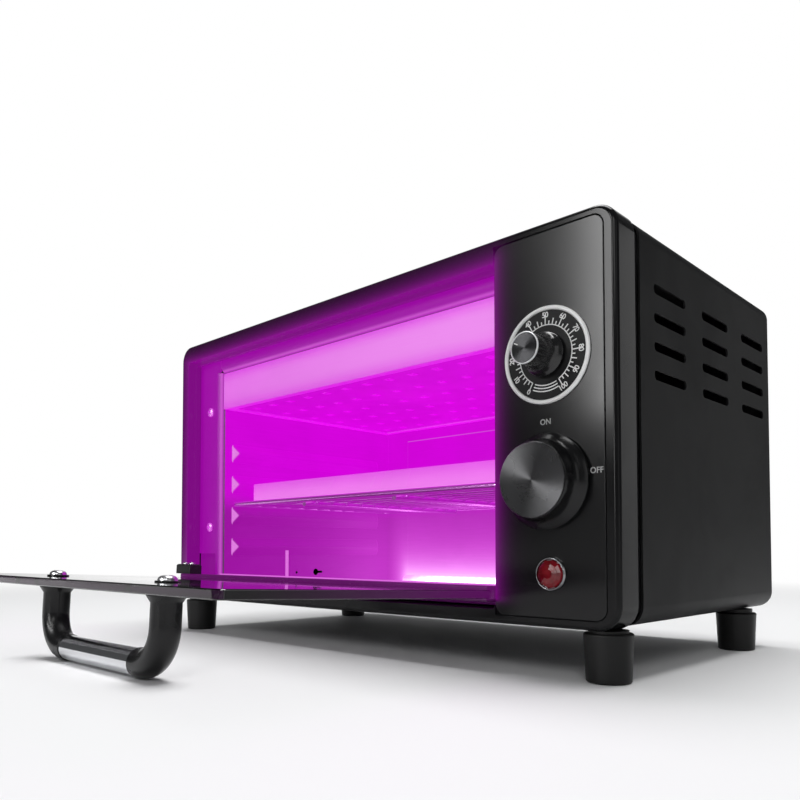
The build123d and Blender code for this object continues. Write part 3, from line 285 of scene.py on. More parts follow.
def mixed(factor, first, second):
    """Colour between two colours or sockets, by a mask."""
    made = shader_node(factor.id_data, "Mix", {"data_type": "RGBA"})
    for socket, value in ((made.inputs[0], factor), (made.inputs[6], first), (made.inputs[7], second)):
        if isinstance(value, bpy.types.NodeSocket):
            made.id_data.links.new(value, socket)
        else:
            socket.default_value = (*value, 1) if isinstance(value, tuple) and len(value) == 3 else value
    return made.outputs[2]


def between(value, low, high):
    """Low where the value is 0 and high where it is 1."""
    return shader_node(value.id_data, "MapRange", inputs={
        "Value": value, "To Min": low, "To Max": high}).outputs["Result"]


def bumped(height, strength, distance):
    return shader_node(height.id_data, "Bump", inputs={
        "Height": height, "Strength": strength, "Distance": distance}).outputs[0]


def finish_material(name, colour, second, roughness, metallic=0.0, grain_scale=900.0, smudge_scale=14.0,
                    grain_bump=0.05, grain_depth=0.00004, wear=None, dust=0.25, specular=0.5):
    """Paint, plastic or metal: grain in the surface, smudged gloss, worn edges and a little dust."""
    material, tree, shader = new_material(name, Metallic=metallic, Specular_IOR_Level=specular)
    grain = from_group(tree, grain_group, Grain_scale=grain_scale, Smudge_scale=smudge_scale)
    base = mixed(grain["Smudge"], colour, second)
    if wear:
        base = mixed(from_group(tree, wear_group)["Edge"], base, wear)
    if dust:
        base = mixed(times(from_group(tree, dust_group)["Dust"], dust), base, dust_colour)
    feed(shader, Base_Color=base, Roughness=between(grain["Smudge"], *roughness),
         Normal=bumped(grain["Grain"], grain_bump, grain_depth))
    return material


def linked(name, mesh):
    made = bpy.data.objects.new(name, mesh)
    bpy.context.scene.collection.objects.link(made)
    return made


def plain_mesh(holder, name):
    """The evaluated object as a plain mesh, with its modifiers gone."""
    bpy.context.view_layer.update()
    graph = bpy.context.evaluated_depsgraph_get()
    mesh = bpy.data.meshes.new_from_object(holder.evaluated_get(graph))
    mesh.name = name
    holder.modifiers.clear()
    return mesh


def smooth_over(mesh, angle=32):
    mesh.polygons.foreach_set("use_smooth", [True] * len(mesh.polygons))
    mesh.set_sharp_from_angle(angle=math.radians(angle))


merge_distance = 0.002 * mm
flat_within = math.radians(0.4)
sharp_from = 38


def stands_for(made, node):
    """The piece rides, is finished and is shown in place of the node."""
    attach(made, frame["nodes"][node]["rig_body"])
    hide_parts(node)
    return made


def break_edges(made, width, segments, angle):
    bevel = made.modifiers.new("edge", "BEVEL")
    bevel.width = width * mm
    bevel.segments = segments
    bevel.limit_method = "ANGLE"
    bevel.angle_limit = math.radians(angle)
    return bevel


def finished(node, material, edge=0.25, segments=2):
    """A node's own shape with its seams merged and its sharp edges broken, in its finish."""
    mesh = frame["nodes"][node].data.copy()
    work = bmesh.new()
    work.from_mesh(mesh)
    bmesh.ops.remove_doubles(work, verts=work.verts, dist=merge_distance)
    bmesh.ops.dissolve_limit(work, angle_limit=flat_within, verts=work.verts, edges=work.edges)
    work.to_mesh(mesh)
    work.free()
    mesh.materials.clear()
    mesh.materials.append(material)
    smooth_over(mesh)
    made = linked(node + "_finished", mesh)
    if edge:
        break_edges(made, edge, segments, sharp_from).harden_normals = True
    weighted = made.modifiers.new("flat faces", "WEIGHTED_NORMAL")
    weighted.keep_sharp = True
    weighted.weight = 90
    made.data = plain_mesh(made, made.name)
    return stands_for(made, node)


def sheet_paint(name):
    """Satin black powder coat, as on all the folded sheets."""
    return finish_material(
        name, (0.010, 0.010, 0.011), (0.015, 0.015, 0.016), (0.40, 0.52), grain_scale=1500.0, grain_bump=0.25,
        grain_depth=0.00006, wear=(0.045, 0.045, 0.047), specular=0.35, dust=0.12)


satin_paint = sheet_paint("satin_black_paint")
finished("base_pan", satin_paint)


# The front frame: folded steel, painted with the rest, that the bezel, the chamber and the case are fixed to. Its
# rim shows as a dark step in the groove behind the bezel, with a painted violet glow for what spills out of the
# window.
# Pan-headed screws go through it into the bezel's bosses.
def mesh_from(work, name, outwards=True, material=None, smooth=None):
    """The mesh that was worked on, its normals turned outwards, in its finish and smooth up to an angle."""
    if outwards:
        bmesh.ops.recalc_face_normals(work, faces=work.faces)
    mesh = bpy.data.meshes.new(name)
    work.to_mesh(mesh)
    work.free()
    if material:
        mesh.materials.append(material)
    if smooth:
        smooth_over(mesh, smooth)
    return mesh


def ring(work, radius, y, segments, middle=Vector()):
    """Corners round a circle that faces the front."""
    turn = [2 * math.pi * step / segments for step in range(segments)]
    return [work.verts.new((middle.x + radius * math.sin(a), y, middle.z + radius * math.cos(a))) for a in turn]


def walled(work, near, far):
    """Faces between two rings of as many corners."""
    for step in range(len(near)):
        after = (step + 1) % len(near)
        work.faces.new([near[step], near[after], far[after], far[step]])


def prism(work, near, far):
    """A solid between two outlines of corners."""
    near, far = [[work.verts.new(corner) for corner in outline] for outline in (near, far)]
    work.faces.new(near)
    work.faces.new(far)
    walled(work, near, far)


def lathe(profile, segments, closed=False):
    """A mesh turned about the Y axis; the profile is a list of (radius, y), and a radius of 0 makes a pole."""
    work = bmesh.new()
    rings = [ring(work, radius, y, segments) if radius else [work.verts.new((0, y, 0))] for radius, y in profile]
    pairs = list(zip(rings, rings[1:])) + ([(rings[-1], rings[0])] if closed else [])
    for near, far in pairs:
        for step in range(segments):
            after = (step + 1) % segments
            loop = [near[step % len(near)], near[after % len(near)], far[after % len(far)], far[step % len(far)]]
            work.faces.new(list(dict.fromkeys(loop)))
    return mesh_from(work, "turned")


def cross_cutter(radius, head):
    """A plus-shaped bar that presses the driver's recess into a screw head."""
    half = radius * 0.13
    reach = radius * 0.56
    outline = [(half, half), (half, reach), (-half, reach), (-half, half), (-reach, half), (-reach, -half),
               (-half, -half), (-half, -reach), (half, -reach), (half, -half), (reach, -half), (reach, half)]
    work = bmesh.new()
    prism(work, [(x, -head * 1.3, z) for x, z in outline], [(x * 0.6, -head * 0.42, z * 0.6) for x, z in outline])
    return mesh_from(work, "cross")


def screw_mesh(head_radius, head, shank_radius, length):
    """A domed screw with a cross recess, its head towards -Y and its seat at y = 0."""
    profile = [(0, -head), (head_radius * 0.45, -head * 0.97), (head_radius * 0.75, -head * 0.8),
               (head_radius * 0.93, -head * 0.5), (head_radius, -head * 0.15), (head_radius, 0), (shank_radius, 0),
               (shank_radius, length - shank_radius * 0.6), (shank_radius * 0.5, length), (0, length)]
    body = linked("screw", lathe(profile, 28))
    cutter = linked("cross", cross_cutter(head_radius, head))
    cut = body.modifiers.new("recess", "BOOLEAN")
    cut.operation = "DIFFERENCE"
    cut.solver = "EXACT"
    cut.object = cutter
    mesh = plain_mesh(body, "screw")
    smooth_over(mesh, 30)
    for spent in (body, cutter):
        bpy.data.objects.remove(spent)
    return mesh


def geometry_tree(name, **inputs):
    """An empty Geometry Nodes tree with a geometry in, a geometry out, and inputs named by their kind."""
    tree = bpy.data.node_groups.new(name, "GeometryNodeTree")
    tree.interface.new_socket("Geometry", in_out="INPUT", socket_type="NodeSocketGeometry")
    for kind, labels in inputs.items():
        for label in labels:
            tree.interface.new_socket(label, in_out="INPUT", socket_type="NodeSocket" + kind)
    tree.interface.new_socket("Geometry", in_out="OUTPUT", socket_type="NodeSocketGeometry")
    return tree, tree.nodes.new("NodeGroupInput").outputs, tree.nodes.new("NodeGroupOutput").inputs


def geo(tree, kind, **inputs):
    """The first output of one geometry node; underscores stand for spaces."""
    made = tree.nodes.new("GeometryNode" + kind)
    feed(made, **inputs)
    return made.outputs[0]


def planted(tree, points, template, **inputs):
    """The template object on every point."""
    shape = add_node(tree, "GeometryNodeObjectInfo", inputs={"Object": template})
    return geo(tree, "InstanceOnPoints", Points=points, Instance=shape.outputs["Geometry"], **inputs)


def close_tree(tree, geometry, source, out):
    """Every tree ends alike: moved to its middle if it has one, instances made real, then the finish set."""
    if "Middle" in source:
        geometry = geo(tree, "Transform", Geometry=geometry, Translation=source["Middle"])
    real = geo(tree, "RealizeInstances", Geometry=geometry)
    tree.links.new(geo(tree, "SetMaterial", Geometry=real, Material=source["Finish"]), out["Geometry"])


def grown(tree, name, base, **values):
    """The plain mesh that a tree makes on a base mesh, with its named inputs set."""
    holder = linked(name, base)
    modifier = holder.modifiers.new("tree", "NODES")
    modifier.node_group = tree
    for item in tree.interface.items_tree:
        key = item.name.lower().replace(" ", "_")
        if item.item_type == "SOCKET" and item.in_out == "INPUT" and key in values:
            modifier[item.identifier] = values[key]
    holder.data = plain_mesh(holder, name)
    return holder


def plant_screws_tree():
    """A screw on every point, each turned about its own axis to a different stop."""
    tree, source, out = geometry_tree("screws on points", Object=("Screw",), Int=("Seed",), Material=("Finish",))
    spin = add_node(tree, "FunctionNodeRandomValue", {"data_type": "FLOAT_VECTOR"}, {
        "Min": (0, 0, 0), "Max": (0, 2 * math.pi, 0), "Seed": source["Seed"]})
    close_tree(tree, planted(tree, source["Geometry"], source["Screw"], Rotation=spin.outputs["Value"]), source, out)
    return tree


screws_tree = plant_screws_tree()
black_zinc = finish_material(
    "black_zinc", (0.03, 0.03, 0.032), (0.045, 0.045, 0.047), (0.3, 0.42), metallic=0.6, grain_scale=1600.0,
    wear=(0.2, 0.2, 0.2), dust=0.1)
facing_back = Matrix.Rotation(math.pi, 4, "Z")


def solids_of(node, turn):
    """The corners of each solid of a node, seen in the frame that turn takes to the rest pose."""
    work = bmesh.new()
    work.from_mesh(frame["nodes"][node].data)
    bmesh.ops.remove_doubles(work, verts=work.verts, dist=merge_distance)
    bmesh.ops.transform(work, matrix=turn.inverted(), verts=work.verts)
    left = set(work.verts)
    boxes = []
    while left:
        edge_of = [left.pop()]
        island = []
        while edge_of:
            vert = edge_of.pop()
            island.append(vert.co.copy())
            for edge in vert.link_edges:
                other = edge.other_vert(vert)
                if other in left:
                    left.discard(other)
                    edge_of.append(other)
        boxes.append((Vector(min(co[i] for co in island) for i in range(3)),
                      Vector(max(co[i] for co in island) for i in range(3))))
    work.free()
    return sorted(boxes, key=lambda box: tuple(box[0]))


def screws(node, head, head_radius, shank_radius, turn, material, seed):
    """Detailed screws on the places of the node's plain ones."""
    boxes = solids_of(node, turn)
    low, high = boxes[0]
    template = linked("screw_template", screw_mesh(head_radius * mm, head * mm, shank_radius * mm,
                                                   high.y - low.y - head * mm))
    places = [((a.x + b.x) / 2, a.y + head * mm, (a.z + b.z) / 2) for a, b in boxes]
    base = bpy.data.meshes.new("places")
    base.from_pydata(places, [], [])
    made = grown(screws_tree, node + "_detailed", base, screw=template, seed=seed, finish=material)
    bpy.data.objects.remove(template)
    made.data.transform(turn)
    return stands_for(made, node)


window_x = (-0.170, 0.114)
window_z = (0.0355, 0.2007)
black = (0.0, 0.0, 0.0)
spill_colour = (0.20, 0.002, 0.215)
front_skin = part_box("front_bezel")[0].y
spill_reach = ((9.0 * mm, 3.6 * mm), (1.0 * mm, 4.6 * mm))


def minus(value, other):
    return math_node("SUBTRACT", value, other)


def fading(distance, reach):
    """1 at no distance, and a share of 1/e less with each reach."""
    return math_node("POWER", 2.718, math_node("DIVIDE", distance, -reach))


def combine(tree, x=0.0, y=0.0, z=0.0):
    return shader_node(tree, "CombineXYZ", inputs={0: x, 1: y, 2: z}).outputs[0]


def build_spill(tree, source):
    """The mask of the painted window glow: how near the window's rectangle is, fading outwards, and on the front skin
    alone outside it.
    """
    at = split(object_place(tree))
    outside = []
    for axis, (low, high), (low_reach, high_reach) in zip("XZ", (window_x, window_z), spill_reach):
        before = math_node("DIVIDE", minus(low, at[axis]), low_reach)
        beyond = math_node("DIVIDE", minus(at[axis], high), high_reach)
        outside.append(largest(before, beyond, 0.0))
    away = length_of(combine(tree, outside[0], 0.0, outside[1]))
    within = math_node("LESS_THAN", away, 0.01)
    skin = ramp(at["Y"], front_skin + 4 * mm, front_skin + 1 * mm)
    return [times(fading(away, 1.0), largest(within, skin))]


spill_group = shader_group("window spill", {}, ("Spill",), build_spill)


def take_spill(material, colour=spill_colour):
    """Paints the window's light into a finished material, as a violet glow."""
    tree = material.node_tree
    spill = from_group(tree, spill_group)["Spill"]
    feed(tree.nodes["Principled BSDF"], Emission_Color=mixed(spill, black, colour), Emission_Strength=1.0)
    return material


finished("front_frame", take_spill(sheet_paint("frame_paint"), (0.29, 0.002, 0.315)))
screws("bezel_screws", 2.0, 2.4, 1.25, facing_back, black_zinc, 1)


# The chamber: thin sheet walls with turned-out front flanges that meet in the corners, welded at the back. Pale
# steel with the violet of the lamps painted on, as a tinted base colour and as emission: bright above the rack, dim
# below it, almost white by the lower strip.
# A small sheet closes the flanges' corner, and a shallow pan takes the door's stop bracket.
strip_low, strip_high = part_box("lower_lamp")
rack_low, rack_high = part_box("wire_rack")
flange_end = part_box("liner_floor")[0].y + 2.5 * mm
wall_sheet = 0.25 * mm
inner_low = Vector((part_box("liner_left")[1].x, 0.0, strip_low.z))
inner_high = Vector((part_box("liner_right")[0].x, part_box("liner_back")[1].y - 1.0 * mm,
                     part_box("liner_ceiling")[0].z))
bare_steel = (0.22, 0.22, 0.225)
# Painted lamp light, put on as emission: violet above and below the rack, darker painted shade on the flange, paler
# painted highlight on folds, and a near-white pool of light by the lower strip, near and far.
violet_high = (0.70, 0.0015, 0.74)
violet_low = (0.33, 0.006, 0.34)
strip_glow_far = (1.15, 0.16, 1.15)
violet_flange = (0.33, 0.002, 0.36)
violet_fold = (0.66, 0.11, 0.67)
strip_glow_near = (1.8, 1.25, 1.8)
near_glow_reach = 8 * mm
far_glow_reach = 40 * mm


def build_violet(tree, source):
    """Masks for the painted lamp light: how much falls here, the lower strip's near and far glow, and what is flange,
    fold or inside.
    """
    at = split(object_place(tree))
    level = ramp(at["Z"], rack_low.z - 4 * mm, rack_high.z + 10 * mm)
    middle = (strip_low + strip_high) / 2
    past_end = minus(math_node("ABSOLUTE", minus(at["X"], middle.x)), middle.x - strip_low.x)
    away = length_of(combine(tree, times(largest(past_end, 0.0), 2.0), largest(minus(strip_low.y, at["Y"]), 0.0),
                             largest(minus(at["Z"], strip_low.z), 0.0)))
    flange = ramp(at["Y"], flange_end + 1 * mm, flange_end)
    normal = shader_node(tree, "NewGeometry").outputs["Normal"]
    squared = shader_node(tree, "VectorMath", {"operation": "MULTIPLY"}, {0: normal, 1: normal})
    fold = ramp(largest(*split(squared.outputs[0])), 0.85, 0.5)
    inside = 1.0
    for axis, sign, limit in (("X", -1.0, inner_low.x), ("Z", -1.0, inner_low.z), ("X", 1.0, inner_high.x),
                              ("Y", 1.0, inner_high.y), ("Z", 1.0, inner_high.z)):
        past = times(minus(at[axis], limit), sign)
        inside = times(inside, math_node("LESS_THAN", past, wall_sheet))
    return level, fading(away, near_glow_reach), fading(away, far_glow_reach), flange, fold, largest(inside, flange)


violet_group = shader_group("violet light", {}, ("Level", "Heat", "Warmth", "Flange", "Fold", "Inside"), build_violet)


def lit_steel(name, colour, roughness, glow=1.0, folds=1.0, pale=None, pale_from=0.5, pale_spans=(), metallic=0.0,
              specular=0.3):
    """Pale sheet with faint rolling streaks in the chamber's painted light: the lamps' violet is painted into the
    base colour inside the chamber and put on as emission, clouded by the streaks and smudges.

    Faces towards the front may get a paler painted highlight, where each span of (axis, none from, full from) allows
    it; without it, the flange gets darker painted shade and the folds a paler painted highlight.
    """
    material, tree, shader = new_material(name, Metallic=metallic, Emission_Strength=glow,
                                          Specular_IOR_Level=specular)
    place = object_place(tree)
    stretch = shader_node(tree, "Mapping", inputs={"Vector": place, "Scale": (9.0, 9.0, 240.0)})
    streak = noise(stretch.outputs[0], 5.0, 4.0)
    grain = from_group(tree, grain_group, Grain_scale=700.0, Smudge_scale=12.0)
    light = from_group(tree, violet_group)
    inner = mixed(streak, colour, tuple(c * 0.82 for c in colour))
    shine = mixed(light["Warmth"], violet_low, strip_glow_far)
    shine = mixed(light["Level"], shine, violet_high)
    if pale:
        normal = shader_node(tree, "NewGeometry").outputs["Normal"]
        forward = ramp(split(normal)["Y"], -pale_from, -pale_from - 0.25)
        at = split(place)
        spans = [ramp(at[axis], none_from, full_from) for axis, none_from, full_from in pale_spans]
        shine = mixed(times(forward, *spans), shine, pale)
    else:
        shine = mixed(light["Flange"], shine, violet_flange)
        shine = mixed(times(light["Fold"], folds), shine, violet_fold)
    shine = mixed(light["Heat"], shine, strip_glow_near)
    clouded = math_node("ADD", times(grain["Smudge"], 0.10), times(streak, 0.12))
    shine = mixed(clouded, shine, (0.2, 0.0, 0.22))
    feed(shader, Base_Color=mixed(light["Inside"], bare_steel, inner),
         Emission_Color=mixed(light["Inside"], black, shine),
         Roughness=between(grain["Smudge"], *roughness), Normal=bumped(streak, 0.12, 0.0001))
    return material


def wall_steel(name, glow=0.78, **pale):
    return lit_steel(name, (0.20, 0.004, 0.22), (0.32, 0.45), glow=glow, specular=0.2, **pale)


chamber_steel = wall_steel("chamber_steel")
for node in ("liner_left", "liner_right", "liner_ceiling", "liner_back"):
    finished(node, chamber_steel, edge=0.15)
# The floor and the runners get a pale painted highlight on their front faces.
floor_steel = wall_steel("floor_steel", pale=(0.92, 0.22, 0.92))
floor_tree = floor_steel.node_tree
floor_shader = floor_tree.nodes["Principled BSDF"]
floor_at = split(object_place(floor_tree))
lip_top = 36 * mm
lip_shade = (0.02, 0.001, 0.022)
shaded_lip = times(ramp(floor_at["Z"], lip_top, lip_top - 2 * mm),
                   ramp(floor_at["Y"], flange_end + 0.5 * mm, flange_end))
floor_glow = floor_shader.inputs["Emission Color"].links[0].from_socket
feed(floor_shader, Emission_Color=mixed(shaded_lip, floor_glow, lip_shade))
finished("liner_floor", floor_steel, edge=0.15)
runner_steel = wall_steel("runner_steel", 0.80, pale=(0.88, 0.26, 0.88), pale_from=0.45)
for node in ("runners_left", "runners_right"):
    finished(node, runner_steel, edge=1.6, segments=4)


def sheet_piece(name, low, high, material):
    """A flat piece of sheet between two corners, its edges broken."""
    work = bmesh.new()
    bmesh.ops.create_cube(work, size=1.0)
    bmesh.ops.scale(work, vec=high - low, verts=work.verts)
    bmesh.ops.translate(work, vec=(low + high) / 2, verts=work.verts)
    bmesh.ops.bevel(work, geom=work.edges[:], offset=0.15 * mm, segments=2, profile=0.5, affect="EDGES")
    return linked(name, mesh_from(work, name, material=material, smooth=50))


right_low, right_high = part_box("liner_right")
ceiling_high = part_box("liner_ceiling")[1]
flange_corner = sheet_piece(
    "flange_corner", Vector((right_low.x + 0.05 * mm, right_low.y, right_high.z + 0.05 * mm)),
    Vector((right_high.x, right_low.y + 1.0 * mm, ceiling_high.z - 0.5 * mm)), chamber_steel)
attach(flange_corner, "oven")

pocket_low = Vector((-173.5, -13.9, 40.5)) * mm
pocket_high = Vector((-144.6, -9.8, 60.0)) * mm
pocket_sheet = 0.8 * mm
pocket_paint = finish_material(
    "pocket_paint", (0.010, 0.010, 0.011), (0.015, 0.015, 0.016), (0.40, 0.52), grain_scale=1500.0, specular=0.2)
# The pan's glow is painted violet light from the chamber.
pocket_glow = (0.24, 0.002, 0.26, 1)
feed(pocket_paint.node_tree.nodes["Principled BSDF"], Emission_Color=pocket_glow, Emission_Strength=1.0)


def stop_pocket():
    """The shallow pan behind the left flange that the door's stop bracket swings into."""
    (x0, y0, z0), (x1, y1, z1) = pocket_low, pocket_high
    work = bmesh.new()
    front, back = [[work.verts.new(corner) for corner in ((x0, y, z0), (x1, y, z0), (x1, y, z1), (x0, y, z1))]
                   for y in (y0, y1)]
    work.faces.new(back)
    walled(work, front, back)
    made = linked("stop_pocket", mesh_from(work, "stop_pocket", material=pocket_paint))
    wall = made.modifiers.new("sheet", "SOLIDIFY")
    wall.thickness = pocket_sheet
    wall.offset = -1
    made.data = plain_mesh(made, "stop_pocket")
    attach(made, "oven")


stop_pocket()
facing_front = Matrix()
# The flange screws have the chamber's violet light painted on, as a tint and a glow.
violet_zinc = lit_steel("zinc_in_violet", (0.6, 0.3, 0.62), (0.2, 0.3), glow=1.0, folds=0.9, metallic=0.6)
screws("flange_screws", 1.8, 3.4, 1.25, facing_front, violet_zinc, 2)


# The lamp unit: a folded housing under the ceiling with a board of lamp chips below and a finned heat sink above,
# and a second, narrow lamp strip along the foot of the chamber's back.
housing_low, housing_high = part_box("lamp_housing")
# The housing's violet and glow, and its paler front band, are painted lamp light; so is the board's glow. The chips
# are lamps themselves.
lamp_face = lit_steel(
    "lamp_housing_paint", (0.5, 0.15, 0.52), (0.35, 0.5), glow=0.74, pale=(0.86, 0.25, 0.85), pale_spans=(
        ("Z", housing_low.z - 4 * mm, housing_low.z + 10 * mm),
        ("Z", housing_high.z + 2 * mm, housing_high.z - 9 * mm),
        ("X", housing_low.x - 320 * mm, housing_high.x)))
finished("lamp_housing", lamp_face, edge=0.3)
board_face = lit_steel("lamp_board", (0.2, 0.01, 0.22), (0.4, 0.5), glow=0.74, folds=0.0)
finished("led_board", board_face, edge=0)
chip_face = lit_steel("lamp_chip", (0.3, 0.03, 0.32), (0.2, 0.3), glow=0.86, folds=0.0)
chip_rows = 6
chip_columns = 12
chip_facets = 12


def chip_mesh(width, thickness):
    """A flat lamp chip with a domed lens, lens towards -Z and its back at z = 0."""
    work = bmesh.new()
    half = width / 2
    lens = width * 0.4
    ledge = -thickness * 0.45
    prism(work, *[[(x * half, y * half, z) for x, y in ((-1, -1), (1, -1), (1, 1), (-1, 1))] for z in (0, ledge)])
    turn = [2 * math.pi * step / chip_facets for step in range(chip_facets)]
    rings = [[work.verts.new((lens * share * math.cos(a), lens * share * math.sin(a), z)) for a in turn]
             for share, z in ((1.0, ledge), (0.9, -thickness * 0.75), (0.5, -thickness * 0.97))]
    for near, far in zip(rings, rings[1:]):
        walled(work, near, far)
    work.faces.new(rings[0])
    work.faces.new(rings[-1])
    return mesh_from(work, "chip", smooth=35)


def chips_tree():
    """A rectangular field of chips."""
    tree, source, out = geometry_tree(
        "field of chips", Object=("Chip",), Float=("Width", "Depth"), Int=("Columns", "Rows"), Vector=("Middle",),
        Material=("Finish",))
    field = geo(tree, "MeshGrid", Size_X=source["Width"], Size_Y=source["Depth"], Vertices_X=source["Columns"],
                Vertices_Y=source["Rows"])
    close_tree(tree, planted(tree, field, source["Chip"]), source, out)
    return tree


chip_boxes = solids_of("led_chips", Matrix())
chip_low, chip_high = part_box("led_chips")
chip_width = chip_boxes[0][1].x - chip_boxes[0][0].x
chip = linked("chip_template", chip_mesh(chip_width, chip_high.z - chip_low.z))
chips = grown(chips_tree(), "lamp_chips_detailed", bpy.data.meshes.new("chips"), chip=chip,
              width=chip_high.x - chip_low.x - chip_width, depth=chip_high.y - chip_low.y - chip_width,
              columns=chip_columns, rows=chip_rows,
              middle=((chip_low.x + chip_high.x) / 2, (chip_low.y + chip_high.y) / 2, chip_high.z),
              finish=chip_face)
bpy.data.objects.remove(chip)
stands_for(chips, "led_chips")
sink_metal = finish_material(
    "heat_sink_metal", (0.5, 0.5, 0.52), (0.42, 0.42, 0.44), (0.32, 0.45), metallic=1.0, grain_scale=1200.0)
finished("heat_sink", sink_metal)

diffuser, diffuser_tree, diffuser_shader = new_material(
    "lamp_diffuser", Base_Color=(0.85, 0.8, 0.9, 1), Roughness=0.35, Emission_Strength=3.2)
strip_middle = (strip_low.x + strip_high.x) / 2
half_strip = (strip_high.x - strip_low.x) / 2
end_fade = 45 * mm
diffuser_place = object_place(diffuser_tree)
diffuser_at = split(diffuser_place)
diffuser_cells = shader_node(diffuser_tree, "TexWave", {"bands_direction": "X"}, {
    "Vector": diffuser_place, "Scale": 40.0})
from_centre = math_node("ABSOLUTE", minus(diffuser_at["X"], strip_middle))
burning = times(ramp(from_centre, half_strip, half_strip - end_fade),
                ramp(diffuser_at["Z"], strip_high.z + 1 * mm, strip_low.z + 2 * mm))
cells = mixed(diffuser_cells.outputs["Fac"], (1.0, 0.62, 1.0), (1.0, 0.85, 1.0))
feed(diffuser_shader, Emission_Color=mixed(burning, (0.33, 0.10, 0.33), cells))
finished("lower_lamp", diffuser, edge=0.3)


# The electrical parts to the right of the chamber: the lamps' driver in its can, the terminal block, and the wires
# from the timer, the switch and the driver.
finished("led_driver", sink_metal, edge=0.4)
white_plastic = finish_material(
    "white_plastic", (0.92, 0.92, 0.91), (0.88, 0.88, 0.87), (0.4, 0.5), grain_scale=1100.0, dust=0.05)
finished("terminal_block", white_plastic)
wire_colours = (("wire_brown", (0.09, 0.03, 0.015)), ("wire_blue", (0.015, 0.06, 0.3)),
                ("wire_red", (0.4, 0.02, 0.015)))
wire_black = finish_material("wire_black", (0.02, 0.02, 0.02), (0.03, 0.03, 0.03), (0.35, 0.5))
wires = finished("wiring", wire_black, edge=0)
for wire_name, wire_colour in wire_colours:
    wires.data.materials.append(finish_material(
        wire_name, wire_colour, tuple(c * 0.8 for c in wire_colour), (0.35, 0.5), dust=0.05))
wire_boxes = solids_of("wiring", Matrix())
for face in wires.data.polygons:
    for number, (low, high) in enumerate(wire_boxes):
        if all(low[i] - 0.01 * mm <= face.center[i] <= high[i] + 0.01 * mm for i in range(3)):
            face.material_index = number % (len(wire_colours) + 1)
            break


# The controls' bodies behind the panel: a clockwork timer, a rotary switch and the barrel of the indicator.
black_plastic = finish_material(
    "black_plastic", (0.005, 0.005, 0.0055), (0.008, 0.008, 0.0085), (0.22, 0.32), grain_scale=1400.0,
    grain_bump=0.1, wear=(0.025, 0.025, 0.027), specular=0.3, dust=0.05)
for node in ("timer_body", "switch_body", "indicator_body"):
    finished(node, black_plastic)
fixing_steel = finish_material(
    "fixing_steel", (0.58, 0.58, 0.6), (0.48, 0.48, 0.5), (0.22, 0.36), metallic=1.0, grain_scale=1600.0,
    wear=(0.75, 0.75, 0.76), dust=0.0)
for node in ("switch_nut", "timer_shaft", "switch_shaft"):
    finished(node, fixing_steel)
screws("timer_screws", 1.9, 2.6, 1.5, facing_front, fixing_steel, 3)


# The bezel: one black gloss moulding round the window and the controls. Violet light from the chamber creeping out
# over the window's edges is painted on the bezel and the panel as a glow.
gloss_black = take_spill(finish_material(
    "gloss_black", (0.006, 0.006, 0.0065), (0.009, 0.009, 0.0095), (0.14, 0.22), grain_scale=500.0, smudge_scale=9.0,
    grain_bump=0.015, wear=(0.025, 0.025, 0.027), specular=0.15, dust=0.05))
finished("front_bezel", gloss_black, edge=0.3)
panel_gloss = take_spill(finish_material(
    "panel_gloss", (0.005, 0.005, 0.0055), (0.007, 0.007, 0.0075), (0.14, 0.2), grain_scale=300.0, smudge_scale=7.0,
    grain_bump=0.02, specular=0.25, dust=0.05))
finished("control_panel", panel_gloss, edge=0.7, segments=4)


# The timer's dial: a black plate with a white printed scale from 0 to 100, in a raised white ring. The scale's
# ticks stand on a thin circle, every tenth one is longest, and three arcs close the gap at the bottom.
dial_low, dial_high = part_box("dial_plate")
dial_middle = Vector(((dial_low.x + dial_high.x) / 2, dial_low.y, (dial_low.z + dial_high.z) / 2))
scale_start = -150.0
scale_sweep = 300.0
tick_count = 41
tick_circle = 14.0
tick_lengths = (1.8, 3.0, 4.0)
tick_width = 0.55
circle_width = 0.5
ink_depth = 0.04
ink_stroke = 0.07 * mm
capital_share = 0.7
number_radius = 18.6
number_height = 2.5
arc_radii = (14.2, 15.6, 17.0)
arc_width = 0.55
arc_reach = 24.0
print_white = finish_material(
    "white_print", (0.86, 0.86, 0.85), (0.72, 0.72, 0.71), (0.45, 0.6), grain_scale=2400.0, smudge_scale=90.0,
    grain_bump=0.05, dust=0.0)


def ticks_tree():
    """Bars round a circle, the first and each fourth long, each second middling, the others short."""
    tree, source, out = geometry_tree(
        "dial ticks", Int=("Count",), Vector=("Middle",), Material=("Finish",),
        Float=("Start", "Step", "Circle", "Short", "Middling", "Long", "Width", "Depth"))
    index = geo(tree, "InputIndex")
    angle = math_node("ADD", source["Start"], times(source["Step"], index))
    even, fourth = [math_node("LESS_THAN", math_node("MODULO", index, each), 0.5) for each in (2.0, 4.0)]
    gain = times(even, minus(source["Middling"], source["Short"]))
    more = times(fourth, minus(source["Long"], source["Middling"]))
    length = math_node("ADD", source["Short"], math_node("ADD", gain, more))
    radius = math_node("ADD", source["Circle"], times(length, 0.5))
    place = combine(tree, times(radius, math_node("SINE", angle)), 0.0, times(radius, math_node("COSINE", angle)))
    bars = geo(tree, "InstanceOnPoints", Points=geo(tree, "Points", Count=source["Count"], Position=place),
               Instance=geo(tree, "MeshCube", Size=(1, 1, 1)), Rotation=combine(tree, y=angle),
               Scale=combine(tree, source["Width"], source["Depth"], length))
    close_tree(tree, bars, source, out)
    return tree


def printed(name, mesh, body, material=None):
    """A printed piece: it rides with what it is printed on."""
    made = linked(name, mesh)
    mesh.materials.clear()
    mesh.materials.append(material or print_white)
    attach(made, body)
    return made


